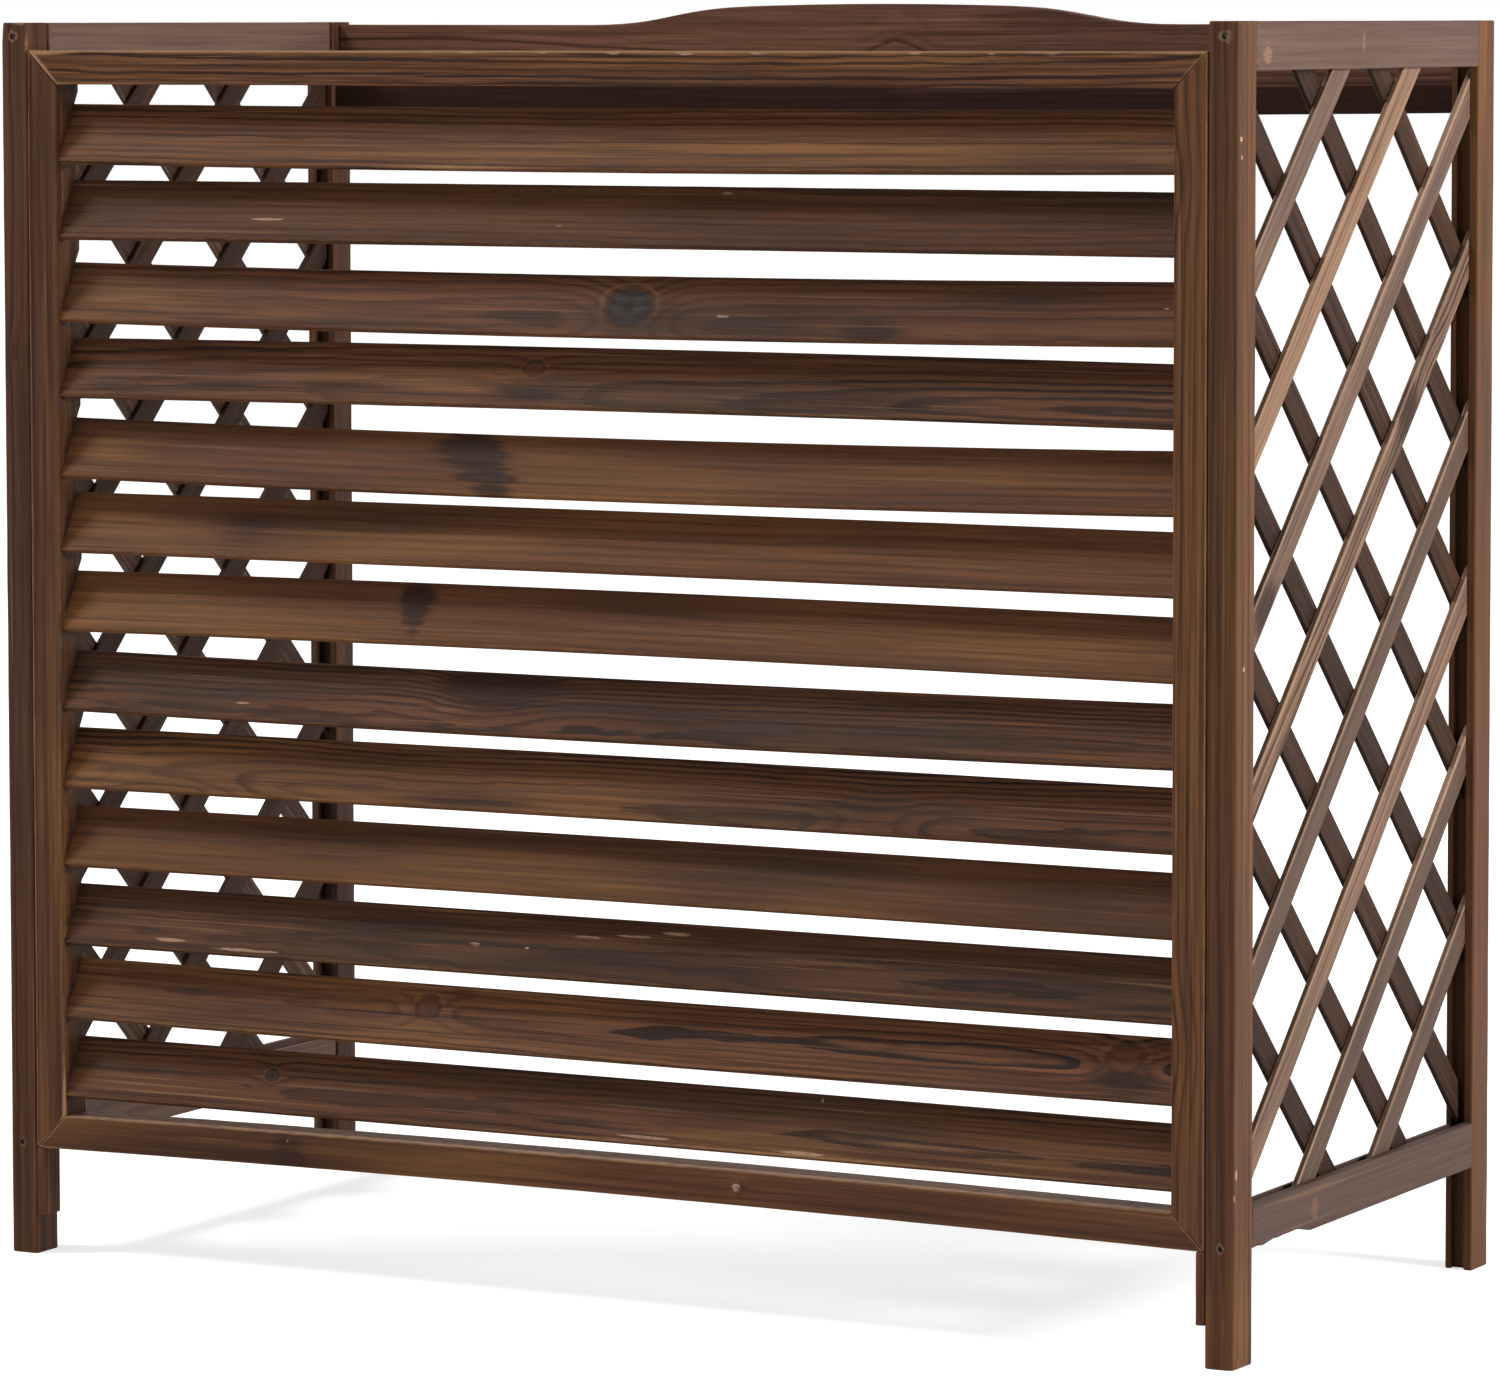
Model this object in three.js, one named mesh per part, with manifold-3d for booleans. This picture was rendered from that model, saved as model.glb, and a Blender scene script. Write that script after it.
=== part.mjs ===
// A wooden screen for an outdoor air conditioning unit, in millimetres.
// X runs to the right, Y from the louvred front to the open back, and Z up.
// The origin is on the ground, under the middle of the screen.

import * as THREE from 'three';
import { mergeVertices } from 'three/addons/utils/BufferGeometryUtils.js';
import Module from 'manifold-3d';

const wasm = await Module();
wasm.setup();

// Whole screen
const OVERALL_WIDTH = 980;
const OVERALL_DEPTH = 450;
const POST_HEIGHT = 900;

// Left between two pieces that touch
const FIT_GAP = 0.3;
// A cutting solid runs past the piece that it cuts by this much
const CUT_OVERRUN = 5;
// Straight steps in each rounded corner or curve
const CORNER_STEPS = 3;
const CURVE_STEPS = 12;

// Lattice strips, in two crossed layers
const LATTICE_WIDTH = 21;
const LATTICE_THICKNESS = 4.5;
const LATTICE_ARRIS = 0.6;
const LATTICE_RISE_DEGREES = 43.1;
const LATTICE_COUNT = 8;
// How far the first and last centre lines of each layer lie below and above the panel's window at
// mid depth. The left panel is made as the right one and turned about, so its layers are the other
// way round, and it was laid out by hand, so it differs a little
const RIGHT_OUTER_FIRST_DROP = 38.1;
const RIGHT_OUTER_LAST_RISE = 33.4;
const RIGHT_INNER_FIRST_DROP = 40.2;
const RIGHT_INNER_LAST_RISE = 38.6;
const LEFT_OUTER_FIRST_DROP = 30.9;
const LEFT_OUTER_LAST_RISE = 32.7;
const LEFT_INNER_FIRST_DROP = 42.7;
const LEFT_INNER_LAST_RISE = 36.2;
// How far each strip of the right panel lies above its even place, in shares of the pitch
const RIGHT_OUTER_DRIFT_SHARES = [-0.01, 0.02, -0.01, -0.01, 0.02, -0.01, 0.01, 0];
const RIGHT_INNER_DRIFT_SHARES = [0, 0.01, 0, -0.01, -0.01, 0.02, -0.01, 0];

// Posts and side rails: sticks with a channel, between two lips, that holds the lattice
const POST_BREADTH = 30;
const RAIL_BREADTH = 33;
const OUTER_LIP = 6.5;
const INNER_LIP = 4.5;
const LATTICE_PLAY = 1.4;
const CHANNEL_DEPTH = 8.5;
const INNER_LIP_SETBACK = 2.5;
const STICK_ARRIS = 2;
const INNER_LIP_ARRIS = 1.5;
const END_ARRIS = 0.8;
const BOTTOM_RAIL_RISE = 75;

// Screw holes in the front faces of the front posts, one for each side rail
const SCREW_HOLE_DIAMETER = 4.6;
const SCREW_HOLE_DEPTH = 9;
const SCREW_HOLE_SIDES = 16;
const SCREW_INSET = 10;
const TOP_SCREW_DROP = 10;
const BOTTOM_SCREW_RISE = 7;

// Louvre frame, mitred at its four corners
const FRAME_MEMBER_WIDTH = 24.7;
const FRAME_DEPTH = 30;
const FRAME_TOP_DROP = 20;
const FRAME_BOTTOM_RISE = 78.5;
const FRAME_ARRIS = 0.8;

// Louvre slats, let into slanted housings in the stiles that are open at the back
const SLAT_WIDTH = 47.2;
const SLAT_THICKNESS = 6;
const SLAT_LEAN_DEGREES = 29.5;
const SLAT_ARRIS = 1;
const SLAT_SETBACK = 1.5;
const TOP_SLAT_DROP = 35.7;
const BOTTOM_SLAT_RISE = 34.9;
const HOUSING_DEPTH = 5;
// The thirteen slats are set by hand: how far each centre lies above its even place, in shares of
// the pitch, from the top slat down
const SLAT_DRIFT_SHARES = [0, 0.03, -0.02, 0.01, -0.01, 0.03, 0.02, 0, 0, -0.01, -0.02, 0.02, 0];

// Cleats on the front posts, under the louvre frame
const CLEAT_THICKNESS = 6.3;
const CLEAT_DEPTH = 21;
const CLEAT_FOOT_RISE = 29;
const CLEAT_ARRIS = 0.6;

// Back board between the rear posts, with a wavy top edge and a proud band along its foot
const BOARD_THICKNESS = 17;
const BOARD_SHOULDER_DROP = 2;
const BOARD_HEIGHT = 64.3;
const BOARD_ARRIS = 0.8;
const WAVE_RUN = 140;
const WAVE_RISE = 13.5;
const CROWN_HALF_SPAN = 105;
const CROWN_RISE = 1.5;
const BAND_HEIGHT = 21.3;
const BAND_PROUD = 5;

// Worked out from the sizes above
const LEFT = -1;
const RIGHT = 1;
const HALF_WIDTH = OVERALL_WIDTH / 2;
const HALF_DEPTH = OVERALL_DEPTH / 2;
const CHANNEL_WIDTH = 2 * (FIT_GAP + LATTICE_THICKNESS) + LATTICE_PLAY;
const STICK_THICKNESS = OUTER_LIP + CHANNEL_WIDTH + INNER_LIP;
const POST_INNER_X = HALF_WIDTH - STICK_THICKNESS;
const POST_LIP_Y = HALF_DEPTH - POST_BREADTH;
const WINDOW_BOTTOM = BOTTOM_RAIL_RISE + RAIL_BREADTH;
const WINDOW_TOP = POST_HEIGHT - RAIL_BREADTH;
const FRAME_HALF_WIDTH = POST_INNER_X - FIT_GAP;
const FRAME_HALF_HEIGHT = (POST_HEIGHT - FRAME_TOP_DROP - FRAME_BOTTOM_RISE) / 2;
const FRAME_CENTRE_Z = FRAME_BOTTOM_RISE + FRAME_HALF_HEIGHT;
const STILE_INNER_X = FRAME_HALF_WIDTH - FRAME_MEMBER_WIDTH;
const SLAT_LEAN = THREE.MathUtils.degToRad(SLAT_LEAN_DEGREES);

// Turns that lay a stick, made upright, along another axis
const UPRIGHT = new THREE.Euler();
const ALONG_Y = new THREE.Euler(Math.PI / 2, 0, 0);
const SLAT_TURN = new THREE.Euler(Math.PI / 2, Math.PI / 2, -SLAT_LEAN);

const POST_FINISH = { color: '#5f4534', roughness: 0.72 };
const RAIL_FINISH = { color: '#75594a', roughness: 0.74 };
const FRAME_FINISH = { color: '#5d4334', roughness: 0.7 };
const SLAT_FINISH = { color: '#593f31', roughness: 0.7 };
const BOARD_FINISH = { color: '#573e30', roughness: 0.75 };
const CLEAT_FINISH = { color: '#5a4130', roughness: 0.78 };
const OUTER_STRIP_FINISH = { color: '#7a5f4b', roughness: 0.76 };
const INNER_STRIP_FINISH = { color: '#5c4536', roughness: 0.8 };

// A closed outline whose corners are rounded, each by its own radius
function roundedOutline(corners) {
  const shape = new THREE.Shape();
  corners.forEach(([x, y, radius], index) => {
    const corner = new THREE.Vector2(x, y);
    const before = corners[(index + corners.length - 1) % corners.length];
    const after = corners[(index + 1) % corners.length];
    const towardBefore = new THREE.Vector2(before[0], before[1]).sub(corner).normalize();
    const towardAfter = new THREE.Vector2(after[0], after[1]).sub(corner).normalize();
    const start = corner.clone().addScaledVector(towardBefore, radius);
    const end = corner.clone().addScaledVector(towardAfter, radius);
    if (index === 0) {
      shape.moveTo(start.x, start.y);
    } else {
      shape.lineTo(start.x, start.y);
    }
    if (radius > 0) {
      shape.quadraticCurveTo(corner.x, corner.y, end.x, end.y);
    }
  });
  shape.closePath();
  return shape;
}

function rectangleOutline(width, height, radius) {
  const halfWidth = width / 2;
  const halfHeight = height / 2;
  return roundedOutline([
    [-halfWidth, -halfHeight, radius],
    [halfWidth, -halfHeight, radius],
    [halfWidth, halfHeight, radius],
    [-halfWidth, halfHeight, radius],
  ]);
}

// An outline drawn out along Z to a centred stick, with its end arrises eased
function stick(outline, length, endArris, curveSegments = CORNER_STEPS) {
  const depth = length - 2 * endArris;
  const geometry = new THREE.ExtrudeGeometry(outline, {
    depth,
    curveSegments,
    bevelEnabled: endArris > 0,
    bevelThickness: endArris,
    bevelSize: endArris,
    bevelOffset: -endArris,
    bevelSegments: 1,
  });
  return geometry.translate(0, 0, -depth / 2);
}

function placed(geometry, x, y, z, turn) {
  const matrix = new THREE.Matrix4().makeRotationFromEuler(turn);
  matrix.setPosition(x, y, z);
  return geometry.clone().applyMatrix4(matrix);
}

function toSolid(geometry) {
  const bare = geometry.clone();
  bare.deleteAttribute('normal');
  bare.deleteAttribute('uv');
  const merged = mergeVertices(bare);
  return new wasm.Manifold(new wasm.Mesh({
    numProp: 3,
    vertProperties: new Float32Array(merged.attributes.position.array),
    triVerts: new Uint32Array(merged.index.array),
  }));
}

function toGeometry(solid) {
  const mesh = solid.getMesh();
  const indexed = new THREE.BufferGeometry();
  indexed.setAttribute('position', new THREE.BufferAttribute(mesh.vertProperties, 3));
  indexed.setIndex(new THREE.BufferAttribute(mesh.triVerts, 1));
  const geometry = indexed.toNonIndexed();
  geometry.computeVertexNormals();
  return geometry;
}

function cutAway(geometry, cutters) {
  const cut = cutters.reduce((solid, cutter) => solid.subtract(toSolid(cutter)), toSolid(geometry));
  return toGeometry(cut);
}

function addPiece(group, name, geometry, finish, x, y, z, turn = UPRIGHT) {
  const material = new THREE.MeshStandardMaterial({ ...finish, metalness: 0 });
  const mesh = new THREE.Mesh(geometry, material);
  mesh.name = name;
  mesh.position.set(x, y, z);
  mesh.rotation.copy(turn);
  group.add(mesh);
}

function sideName(side) {
  return side === LEFT ? 'left' : 'right';
}

// Section of a post or a side rail. Its outer face is at zero and its plain edge too; the channel
// opens towards `open` (1 or -1) and the inner lip is set back from the outer one.
function channelOutline(side, open, breadth) {
  const lipEnd = OUTER_LIP + CHANNEL_WIDTH;
  const corners = [
    [0, 0, STICK_ARRIS],
    [0, breadth, STICK_ARRIS],
    [OUTER_LIP, breadth, 0],
    [OUTER_LIP, breadth - CHANNEL_DEPTH, 0],
    [lipEnd, breadth - CHANNEL_DEPTH, 0],
    [lipEnd, breadth - INNER_LIP_SETBACK, 0],
    [STICK_THICKNESS, breadth - INNER_LIP_SETBACK, INNER_LIP_ARRIS],
    [STICK_THICKNESS, 0, STICK_ARRIS],
  ];
  return roundedOutline(corners.map(([inset, out, radius]) => [-side * inset, open * out, radius]));
}

// Blind holes that hold the screws driven through a front post into the ends of the side rails
function screwHoles(side) {
  const heights = [POST_HEIGHT - TOP_SCREW_DROP, BOTTOM_RAIL_RISE + BOTTOM_SCREW_RISE];
  const length = SCREW_HOLE_DEPTH + CUT_OVERRUN;
  return heights.map((height) => {
    const drill = new THREE.CylinderGeometry(
      SCREW_HOLE_DIAMETER / 2, SCREW_HOLE_DIAMETER / 2, length, SCREW_HOLE_SIDES,
    );
    return drill.translate(
      -side * SCREW_INSET, (SCREW_HOLE_DEPTH - CUT_OVERRUN) / 2, height - POST_HEIGHT / 2,
    );
  });
}

function addPosts(group) {
  for (const side of [LEFT, RIGHT]) {
    const x = side * HALF_WIDTH;
    const z = POST_HEIGHT / 2;
    const front = stick(channelOutline(side, 1, POST_BREADTH), POST_HEIGHT, END_ARRIS);
    const rear = stick(channelOutline(side, -1, POST_BREADTH), POST_HEIGHT, END_ARRIS);
    const drilled = cutAway(front, screwHoles(side));
    addPiece(group, `post_front_${sideName(side)}`, drilled, POST_FINISH, x, -HALF_DEPTH, z);
    addPiece(group, `post_rear_${sideName(side)}`, rear, POST_FINISH, x, HALF_DEPTH, z);
  }
}

function addSideRails(group) {
  const length = 2 * (POST_LIP_Y - FIT_GAP);
  for (const side of [LEFT, RIGHT]) {
    const x = side * HALF_WIDTH;
    const top = stick(channelOutline(side, -1, RAIL_BREADTH), length, END_ARRIS);
    const bottom = stick(channelOutline(side, 1, RAIL_BREADTH), length, END_ARRIS);
    addPiece(group, `rail_top_${sideName(side)}`, top, RAIL_FINISH, x, 0, POST_HEIGHT, ALONG_Y);
    addPiece(
      group, `rail_bottom_${sideName(side)}`, bottom, RAIL_FINISH, x, 0, BOTTOM_RAIL_RISE, ALONG_Y,
    );
  }
}

// Heights of the centre lines of one layer's strips at mid depth, spread evenly but for their drift
function stripHeights(firstDrop, lastRise, driftShares = []) {
  const first = WINDOW_BOTTOM - firstDrop;
  const last = WINDOW_TOP + lastRise;
  const pitch = (last - first) / (LATTICE_COUNT - 1);
  return Array.from({ length: LATTICE_COUNT }, (_, index) => {
    const drift = driftShares[index] ?? 0;
    return first + pitch * (index + drift);
  });
}

// A strip sawn off to fit inside the channels of its two posts and two rails
function latticeStrip(height, turn) {
  const channelFloorY = POST_LIP_Y + CHANNEL_DEPTH - FIT_GAP;
  const bottom = WINDOW_BOTTOM - CHANNEL_DEPTH + FIT_GAP;
  const top = WINDOW_TOP + CHANNEL_DEPTH - FIT_GAP;
  const section = rectangleOutline(LATTICE_THICKNESS, LATTICE_WIDTH, LATTICE_ARRIS);
  const bar = stick(section, OVERALL_DEPTH + POST_HEIGHT, 0, 1);
  const room = new THREE.BoxGeometry(LATTICE_THICKNESS + CUT_OVERRUN, 2 * channelFloorY, top - bottom);
  room.translate(0, 0, (top + bottom) / 2);
  return toGeometry(toSolid(placed(bar, 0, 0, height, turn)).intersect(toSolid(room)));
}

// One layer of one panel. Its strips rise towards the back where `rise` is 1, and fall where it is -1
function addLatticeLayer(group, side, name, inset, rise, heights, finish) {
  const slope = Math.PI / 2 - THREE.MathUtils.degToRad(LATTICE_RISE_DEGREES);
  const turn = new THREE.Euler(-rise * slope, 0, 0);
  const x = side * (HALF_WIDTH - inset);
  heights.forEach((height, index) => {
    const strip = latticeStrip(height, turn);
    addPiece(group, `lattice_${sideName(side)}_${name}_${index + 1}`, strip, finish, x, 0, 0);
  });
}

function addLattice(group) {
  const outerInset = OUTER_LIP + FIT_GAP + LATTICE_THICKNESS / 2;
  const innerInset = outerInset + LATTICE_THICKNESS + FIT_GAP;
  const rightOuter = stripHeights(
    RIGHT_OUTER_FIRST_DROP, RIGHT_OUTER_LAST_RISE, RIGHT_OUTER_DRIFT_SHARES,
  );
  const rightInner = stripHeights(
    RIGHT_INNER_FIRST_DROP, RIGHT_INNER_LAST_RISE, RIGHT_INNER_DRIFT_SHARES,
  );
  const leftOuter = stripHeights(LEFT_OUTER_FIRST_DROP, LEFT_OUTER_LAST_RISE);
  const leftInner = stripHeights(LEFT_INNER_FIRST_DROP, LEFT_INNER_LAST_RISE);
  addLatticeLayer(group, RIGHT, 'outer', outerInset, 1, rightOuter, OUTER_STRIP_FINISH);
  addLatticeLayer(group, RIGHT, 'inner', innerInset, -1, rightInner, INNER_STRIP_FINISH);
  addLatticeLayer(group, LEFT, 'outer', outerInset, -1, leftOuter, OUTER_STRIP_FINISH);
  addLatticeLayer(group, LEFT, 'inner', innerInset, 1, leftInner, INNER_STRIP_FINISH);
}

// One member of the louvre frame, mitred at both ends: its outer edge lies along X at `distance`
// below the frame's centre, and `turn` brings it to its side of the frame
function frameMember(halfLength, distance, turnDegrees) {
  const half = halfLength - FIT_GAP / Math.SQRT2;
  const outline = roundedOutline([
    [-half, -distance, 0],
    [half, -distance, 0],
    [half - FRAME_MEMBER_WIDTH, FRAME_MEMBER_WIDTH - distance, 0],
    [FRAME_MEMBER_WIDTH - half, FRAME_MEMBER_WIDTH - distance, 0],
  ]);
  const turn = new THREE.Euler(Math.PI / 2, 0, THREE.MathUtils.degToRad(turnDegrees));
  return placed(stick(outline, FRAME_DEPTH, FRAME_ARRIS), 0, 0, 0, turn);
}

// Heights of the slats' centres above the frame's centre, from the top slat down
function slatHeights() {
  const opening = FRAME_HALF_HEIGHT - FRAME_MEMBER_WIDTH;
  const top = opening - TOP_SLAT_DROP;
  const bottom = BOTTOM_SLAT_RISE - opening;
  const pitch = (top - bottom) / (SLAT_DRIFT_SHARES.length - 1);
  return SLAT_DRIFT_SHARES.map((share, index) => top - pitch * (index - share));
}

// How far the slats' centre lies behind the middle of the frame's depth
function slatOffset() {
  const reach = (SLAT_WIDTH * Math.sin(SLAT_LEAN) + SLAT_THICKNESS * Math.cos(SLAT_LEAN)) / 2;
  return SLAT_SETBACK + reach - FRAME_DEPTH / 2;
}

// The space that a slat's end fills in a stile, with its clearance, open at the stile's back
function slatHousing(side, height) {
  const halfThickness = SLAT_THICKNESS / 2 + FIT_GAP;
  const front = -SLAT_WIDTH / 2 - FIT_GAP;
  const back = SLAT_WIDTH / 2 + FRAME_DEPTH;
  const outline = roundedOutline([
    [-halfThickness, front, 0],
    [halfThickness, front, 0],
    [halfThickness, back, 0],
    [-halfThickness, back, 0],
  ]);
  const x = side * (STILE_INNER_X + (HOUSING_DEPTH - CUT_OVERRUN) / 2);
  return placed(stick(outline, HOUSING_DEPTH + CUT_OVERRUN, 0), x, slatOffset(), height, SLAT_TURN);
}

function addLouvre(group) {
  const frame = new THREE.Group();
  frame.position.set(0, FRAME_DEPTH / 2 - HALF_DEPTH, FRAME_CENTRE_Z);
  group.add(frame);
  const bottomRail = frameMember(FRAME_HALF_WIDTH, FRAME_HALF_HEIGHT, 0);
  const topRail = frameMember(FRAME_HALF_WIDTH, FRAME_HALF_HEIGHT, 180);
  addPiece(frame, 'louvre_rail_bottom', bottomRail, FRAME_FINISH, 0, 0, 0);
  addPiece(frame, 'louvre_rail_top', topRail, FRAME_FINISH, 0, 0, 0);
  const heights = slatHeights();
  for (const side of [LEFT, RIGHT]) {
    const stile = frameMember(FRAME_HALF_HEIGHT, FRAME_HALF_WIDTH, side * 90);
    const housed = cutAway(stile, heights.map((height) => slatHousing(side, height)));
    addPiece(frame, `louvre_stile_${sideName(side)}`, housed, FRAME_FINISH, 0, 0, 0);
  }
  const length = 2 * (STILE_INNER_X + HOUSING_DEPTH - FIT_GAP);
  const section = rectangleOutline(SLAT_THICKNESS, SLAT_WIDTH, SLAT_ARRIS);
  heights.forEach((height, index) => {
    const name = `slat_${String(index + 1).padStart(2, '0')}`;
    addPiece(frame, name, stick(section, length, 0), SLAT_FINISH, 0, slatOffset(), height, SLAT_TURN);
  });
}

function addCleats(group) {
  const top = FRAME_BOTTOM_RISE - FIT_GAP;
  const section = rectangleOutline(CLEAT_THICKNESS, CLEAT_DEPTH, CLEAT_ARRIS);
  for (const side of [LEFT, RIGHT]) {
    const cleat = stick(section, top - CLEAT_FOOT_RISE, 0);
    const x = side * (POST_INNER_X - FIT_GAP - CLEAT_THICKNESS / 2);
    const y = CLEAT_DEPTH / 2 - HALF_DEPTH;
    const z = (top + CLEAT_FOOT_RISE) / 2;
    addPiece(group, `cleat_${sideName(side)}`, cleat, CLEAT_FINISH, x, y, z);
  }
}

// Outline of the back board, level at its two shoulders and raised in a flat wave between them
function boardOutline(halfSpan) {
  const waveFoot = CROWN_HALF_SPAN + WAVE_RUN;
  const middle = CROWN_HALF_SPAN + WAVE_RUN / 2;
  const crownEdge = BOARD_HEIGHT + WAVE_RISE;
  const crownPull = BOARD_HEIGHT + WAVE_RISE + 2 * CROWN_RISE;
  const leadIn = crownEdge - CROWN_RISE * WAVE_RUN / CROWN_HALF_SPAN;
  const shape = new THREE.Shape();
  shape.moveTo(-halfSpan, 0);
  shape.lineTo(halfSpan, 0);
  shape.lineTo(halfSpan, BOARD_HEIGHT);
  shape.lineTo(waveFoot, BOARD_HEIGHT);
  shape.bezierCurveTo(middle, BOARD_HEIGHT, middle, leadIn, CROWN_HALF_SPAN, crownEdge);
  shape.quadraticCurveTo(0, crownPull, -CROWN_HALF_SPAN, crownEdge);
  shape.bezierCurveTo(-middle, leadIn, -middle, BOARD_HEIGHT, -waveFoot, BOARD_HEIGHT);
  shape.lineTo(-halfSpan, BOARD_HEIGHT);
  shape.closePath();
  return shape;
}

function addBackBoard(group) {
  const halfSpan = POST_INNER_X - FIT_GAP;
  const board = stick(boardOutline(halfSpan), BOARD_THICKNESS, BOARD_ARRIS, CURVE_STEPS);
  const bandThickness = BOARD_THICKNESS + BAND_PROUD - BOARD_ARRIS;
  const band = stick(rectangleOutline(2 * halfSpan, BAND_HEIGHT, 0), bandThickness, BOARD_ARRIS);
  const bandY = -(BAND_PROUD + BOARD_ARRIS) / 2;
  const joined = toSolid(placed(board, 0, 0, 0, ALONG_Y)).add(
    toSolid(placed(band, 0, bandY, BAND_HEIGHT / 2, ALONG_Y)),
  );
  const y = HALF_DEPTH - BOARD_THICKNESS / 2;
  const z = POST_HEIGHT - BOARD_SHOULDER_DROP - BOARD_HEIGHT;
  addPiece(group, 'back_board', toGeometry(joined), BOARD_FINISH, 0, y, z);
}

const screen = new THREE.Group();
screen.name = 'air_conditioner_screen';
addPosts(screen);
addSideRails(screen);
addLattice(screen);
addLouvre(screen);
addCleats(screen);
addBackBoard(screen);

export default screen;
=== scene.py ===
"""The looks of a louvred wooden screen that stands round an outdoor air conditioning unit.

Every stick is a finished copy of its plain solid: cut into short lengths, its arrises worn and
knocked, and dressed in carbonised fir whose growth rings, knots and burnt patches follow that stick.
Sizes are named in millimetres and turned to metres where a mesh or a material needs them.
"""

import logging
import math
import random
from dataclasses import dataclass, field, replace
from enum import Enum
from functools import partial
from typing import Any, Callable, NamedTuple

import bpy
import numpy as np
from mathutils import Matrix, Vector, noise


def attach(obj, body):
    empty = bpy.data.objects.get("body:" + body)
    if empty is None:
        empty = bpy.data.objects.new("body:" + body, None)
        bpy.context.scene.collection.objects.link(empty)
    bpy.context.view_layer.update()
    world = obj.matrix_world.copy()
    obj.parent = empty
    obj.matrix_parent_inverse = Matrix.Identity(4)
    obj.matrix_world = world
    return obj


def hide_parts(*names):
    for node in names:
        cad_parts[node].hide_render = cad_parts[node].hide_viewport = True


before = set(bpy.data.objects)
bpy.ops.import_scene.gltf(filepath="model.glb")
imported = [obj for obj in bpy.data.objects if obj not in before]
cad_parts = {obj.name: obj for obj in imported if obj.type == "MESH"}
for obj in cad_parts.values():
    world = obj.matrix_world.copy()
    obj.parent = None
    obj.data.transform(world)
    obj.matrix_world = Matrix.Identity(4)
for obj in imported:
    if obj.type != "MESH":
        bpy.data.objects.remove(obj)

LOG = logging.getLogger("screen")
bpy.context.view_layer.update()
MM = 0.001
WHITE = (1, 1, 1, 1)
BODY = "root"
FAR_AWAY_MM = 900.0
SAME_POINT_MM = 0.01
SAME_FACE_DEG = 0.4
ROUND_DEG = 40.0
# How nearly a face looks one way, as a cosine
FACING = 0.8
# How an arris's drop is shared between its two sides
ARRIS_SHARE = 0.7
# Shares of a stick's half width and half thickness past which a vertex lies on an arris
ARRIS_SHARES = (0.8, 0.7)
# Share of its half width past which a vertex moves with a notch
NOTCH_SHARE = 0.85
# Share of its half thickness up to which a stick counts as its back and sides, where stains are painted
# shade
SHADE_BEHIND_SHARE = 0.6
# How gently a notch starts and ends, and how rough it is along the edge
NOTCH_RISE_MM = 6
NOTCH_FALL_MM = 3
NOTCH_ROUGH_MM = 9
Socket = bpy.types.NodeSocket


class Face(Enum):
    """The way that the show side of a stick looks."""

    FRONT = (0.0, -1.0, 0.0)
    LEFT = (-1.0, 0.0, 0.0)
    RIGHT = (1.0, 0.0, 0.0)


class Run(Enum):
    """The way that a stick runs."""

    SIDEWAYS = (1.0, 0.0, 0.0)
    BACKWARDS = (0.0, 1.0, 0.0)
    UPRIGHT = (0.0, 0.0, 1.0)
    SLANTED = None


class MarkKind(Enum):
    """The kinds of small mark in wood.

    Each has its tone, from -1, raw and pale, to 1, black. Then come how far it turns the grain and how
    clearly it covers.
    """

    DARK_KNOT = (1.0, 1.0, 0.85)
    BROWN_KNOT = (0.2, 0.75, 0.8)
    SWIRL = (0.3, 0.75, 0.0)
    NAIL = (1.0, 0.0, 0.9)
    # Raw torn wood; laid wide over a face it is painted light
    RAW = (-1.0, 0.3, 0.8)
    BRUISE = (-0.6, 0.0, 0.45)


class StainKind(Enum):
    """What a stain does to the wood, by its place in the painted attribute."""

    # Burnt wood, and also painted shade on faces that lie in the screen's shadow
    CHAR_AND_SHADE = 0
    GOLD = 1
    # Rubbed pale wood, and also a painted highlight along the right outer strips' front arrises
    WORN_AND_SHEEN = 2


DARK_KNOT, BROWN_KNOT, SWIRL, NAIL, RAW, BRUISE = MarkKind
CHAR_AND_SHADE, GOLD, WORN_AND_SHEEN = StainKind


@dataclass(frozen=True)
class Mark:
    """A small mark in the wood, at its place on the stick from the stick's middle.

    radius_mm, stretch: half its width across the grain, and how many times longer it is along the grain.
    on_side: whether it lies on the stick's sides, where across is counted through the stick.
    """

    along_mm: float
    across_mm: float
    radius_mm: float
    kind: MarkKind = DARK_KNOT
    stretch: float = 1.35
    on_side: bool = False


@dataclass(frozen=True)
class Stain:
    """A soft patch on a stick, at its place from the stick's middle.

    shade_behind: whether it keeps to the back and the sides and leaves the show face clean, as painted shade
    on faces that lie in the screen's shadow.
    """

    along_mm: float
    across_mm: float
    reach_along_mm: float
    reach_across_mm: float
    strength: float
    kind: StainKind = CHAR_AND_SHADE
    shade_behind: bool = False


@dataclass(frozen=True)
class Chip:
    """A bruise that takes a little wood off the arrises near one place on a stick."""

    along_mm: float
    across_mm: float
    through_mm: float
    reach_mm: float
    depth_mm: float


@dataclass(frozen=True)
class Notch:
    """A stretch of a stick's lower edge that has broken away, at places from the stick's middle."""

    start_mm: float
    end_mm: float
    depth_mm: float


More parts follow.
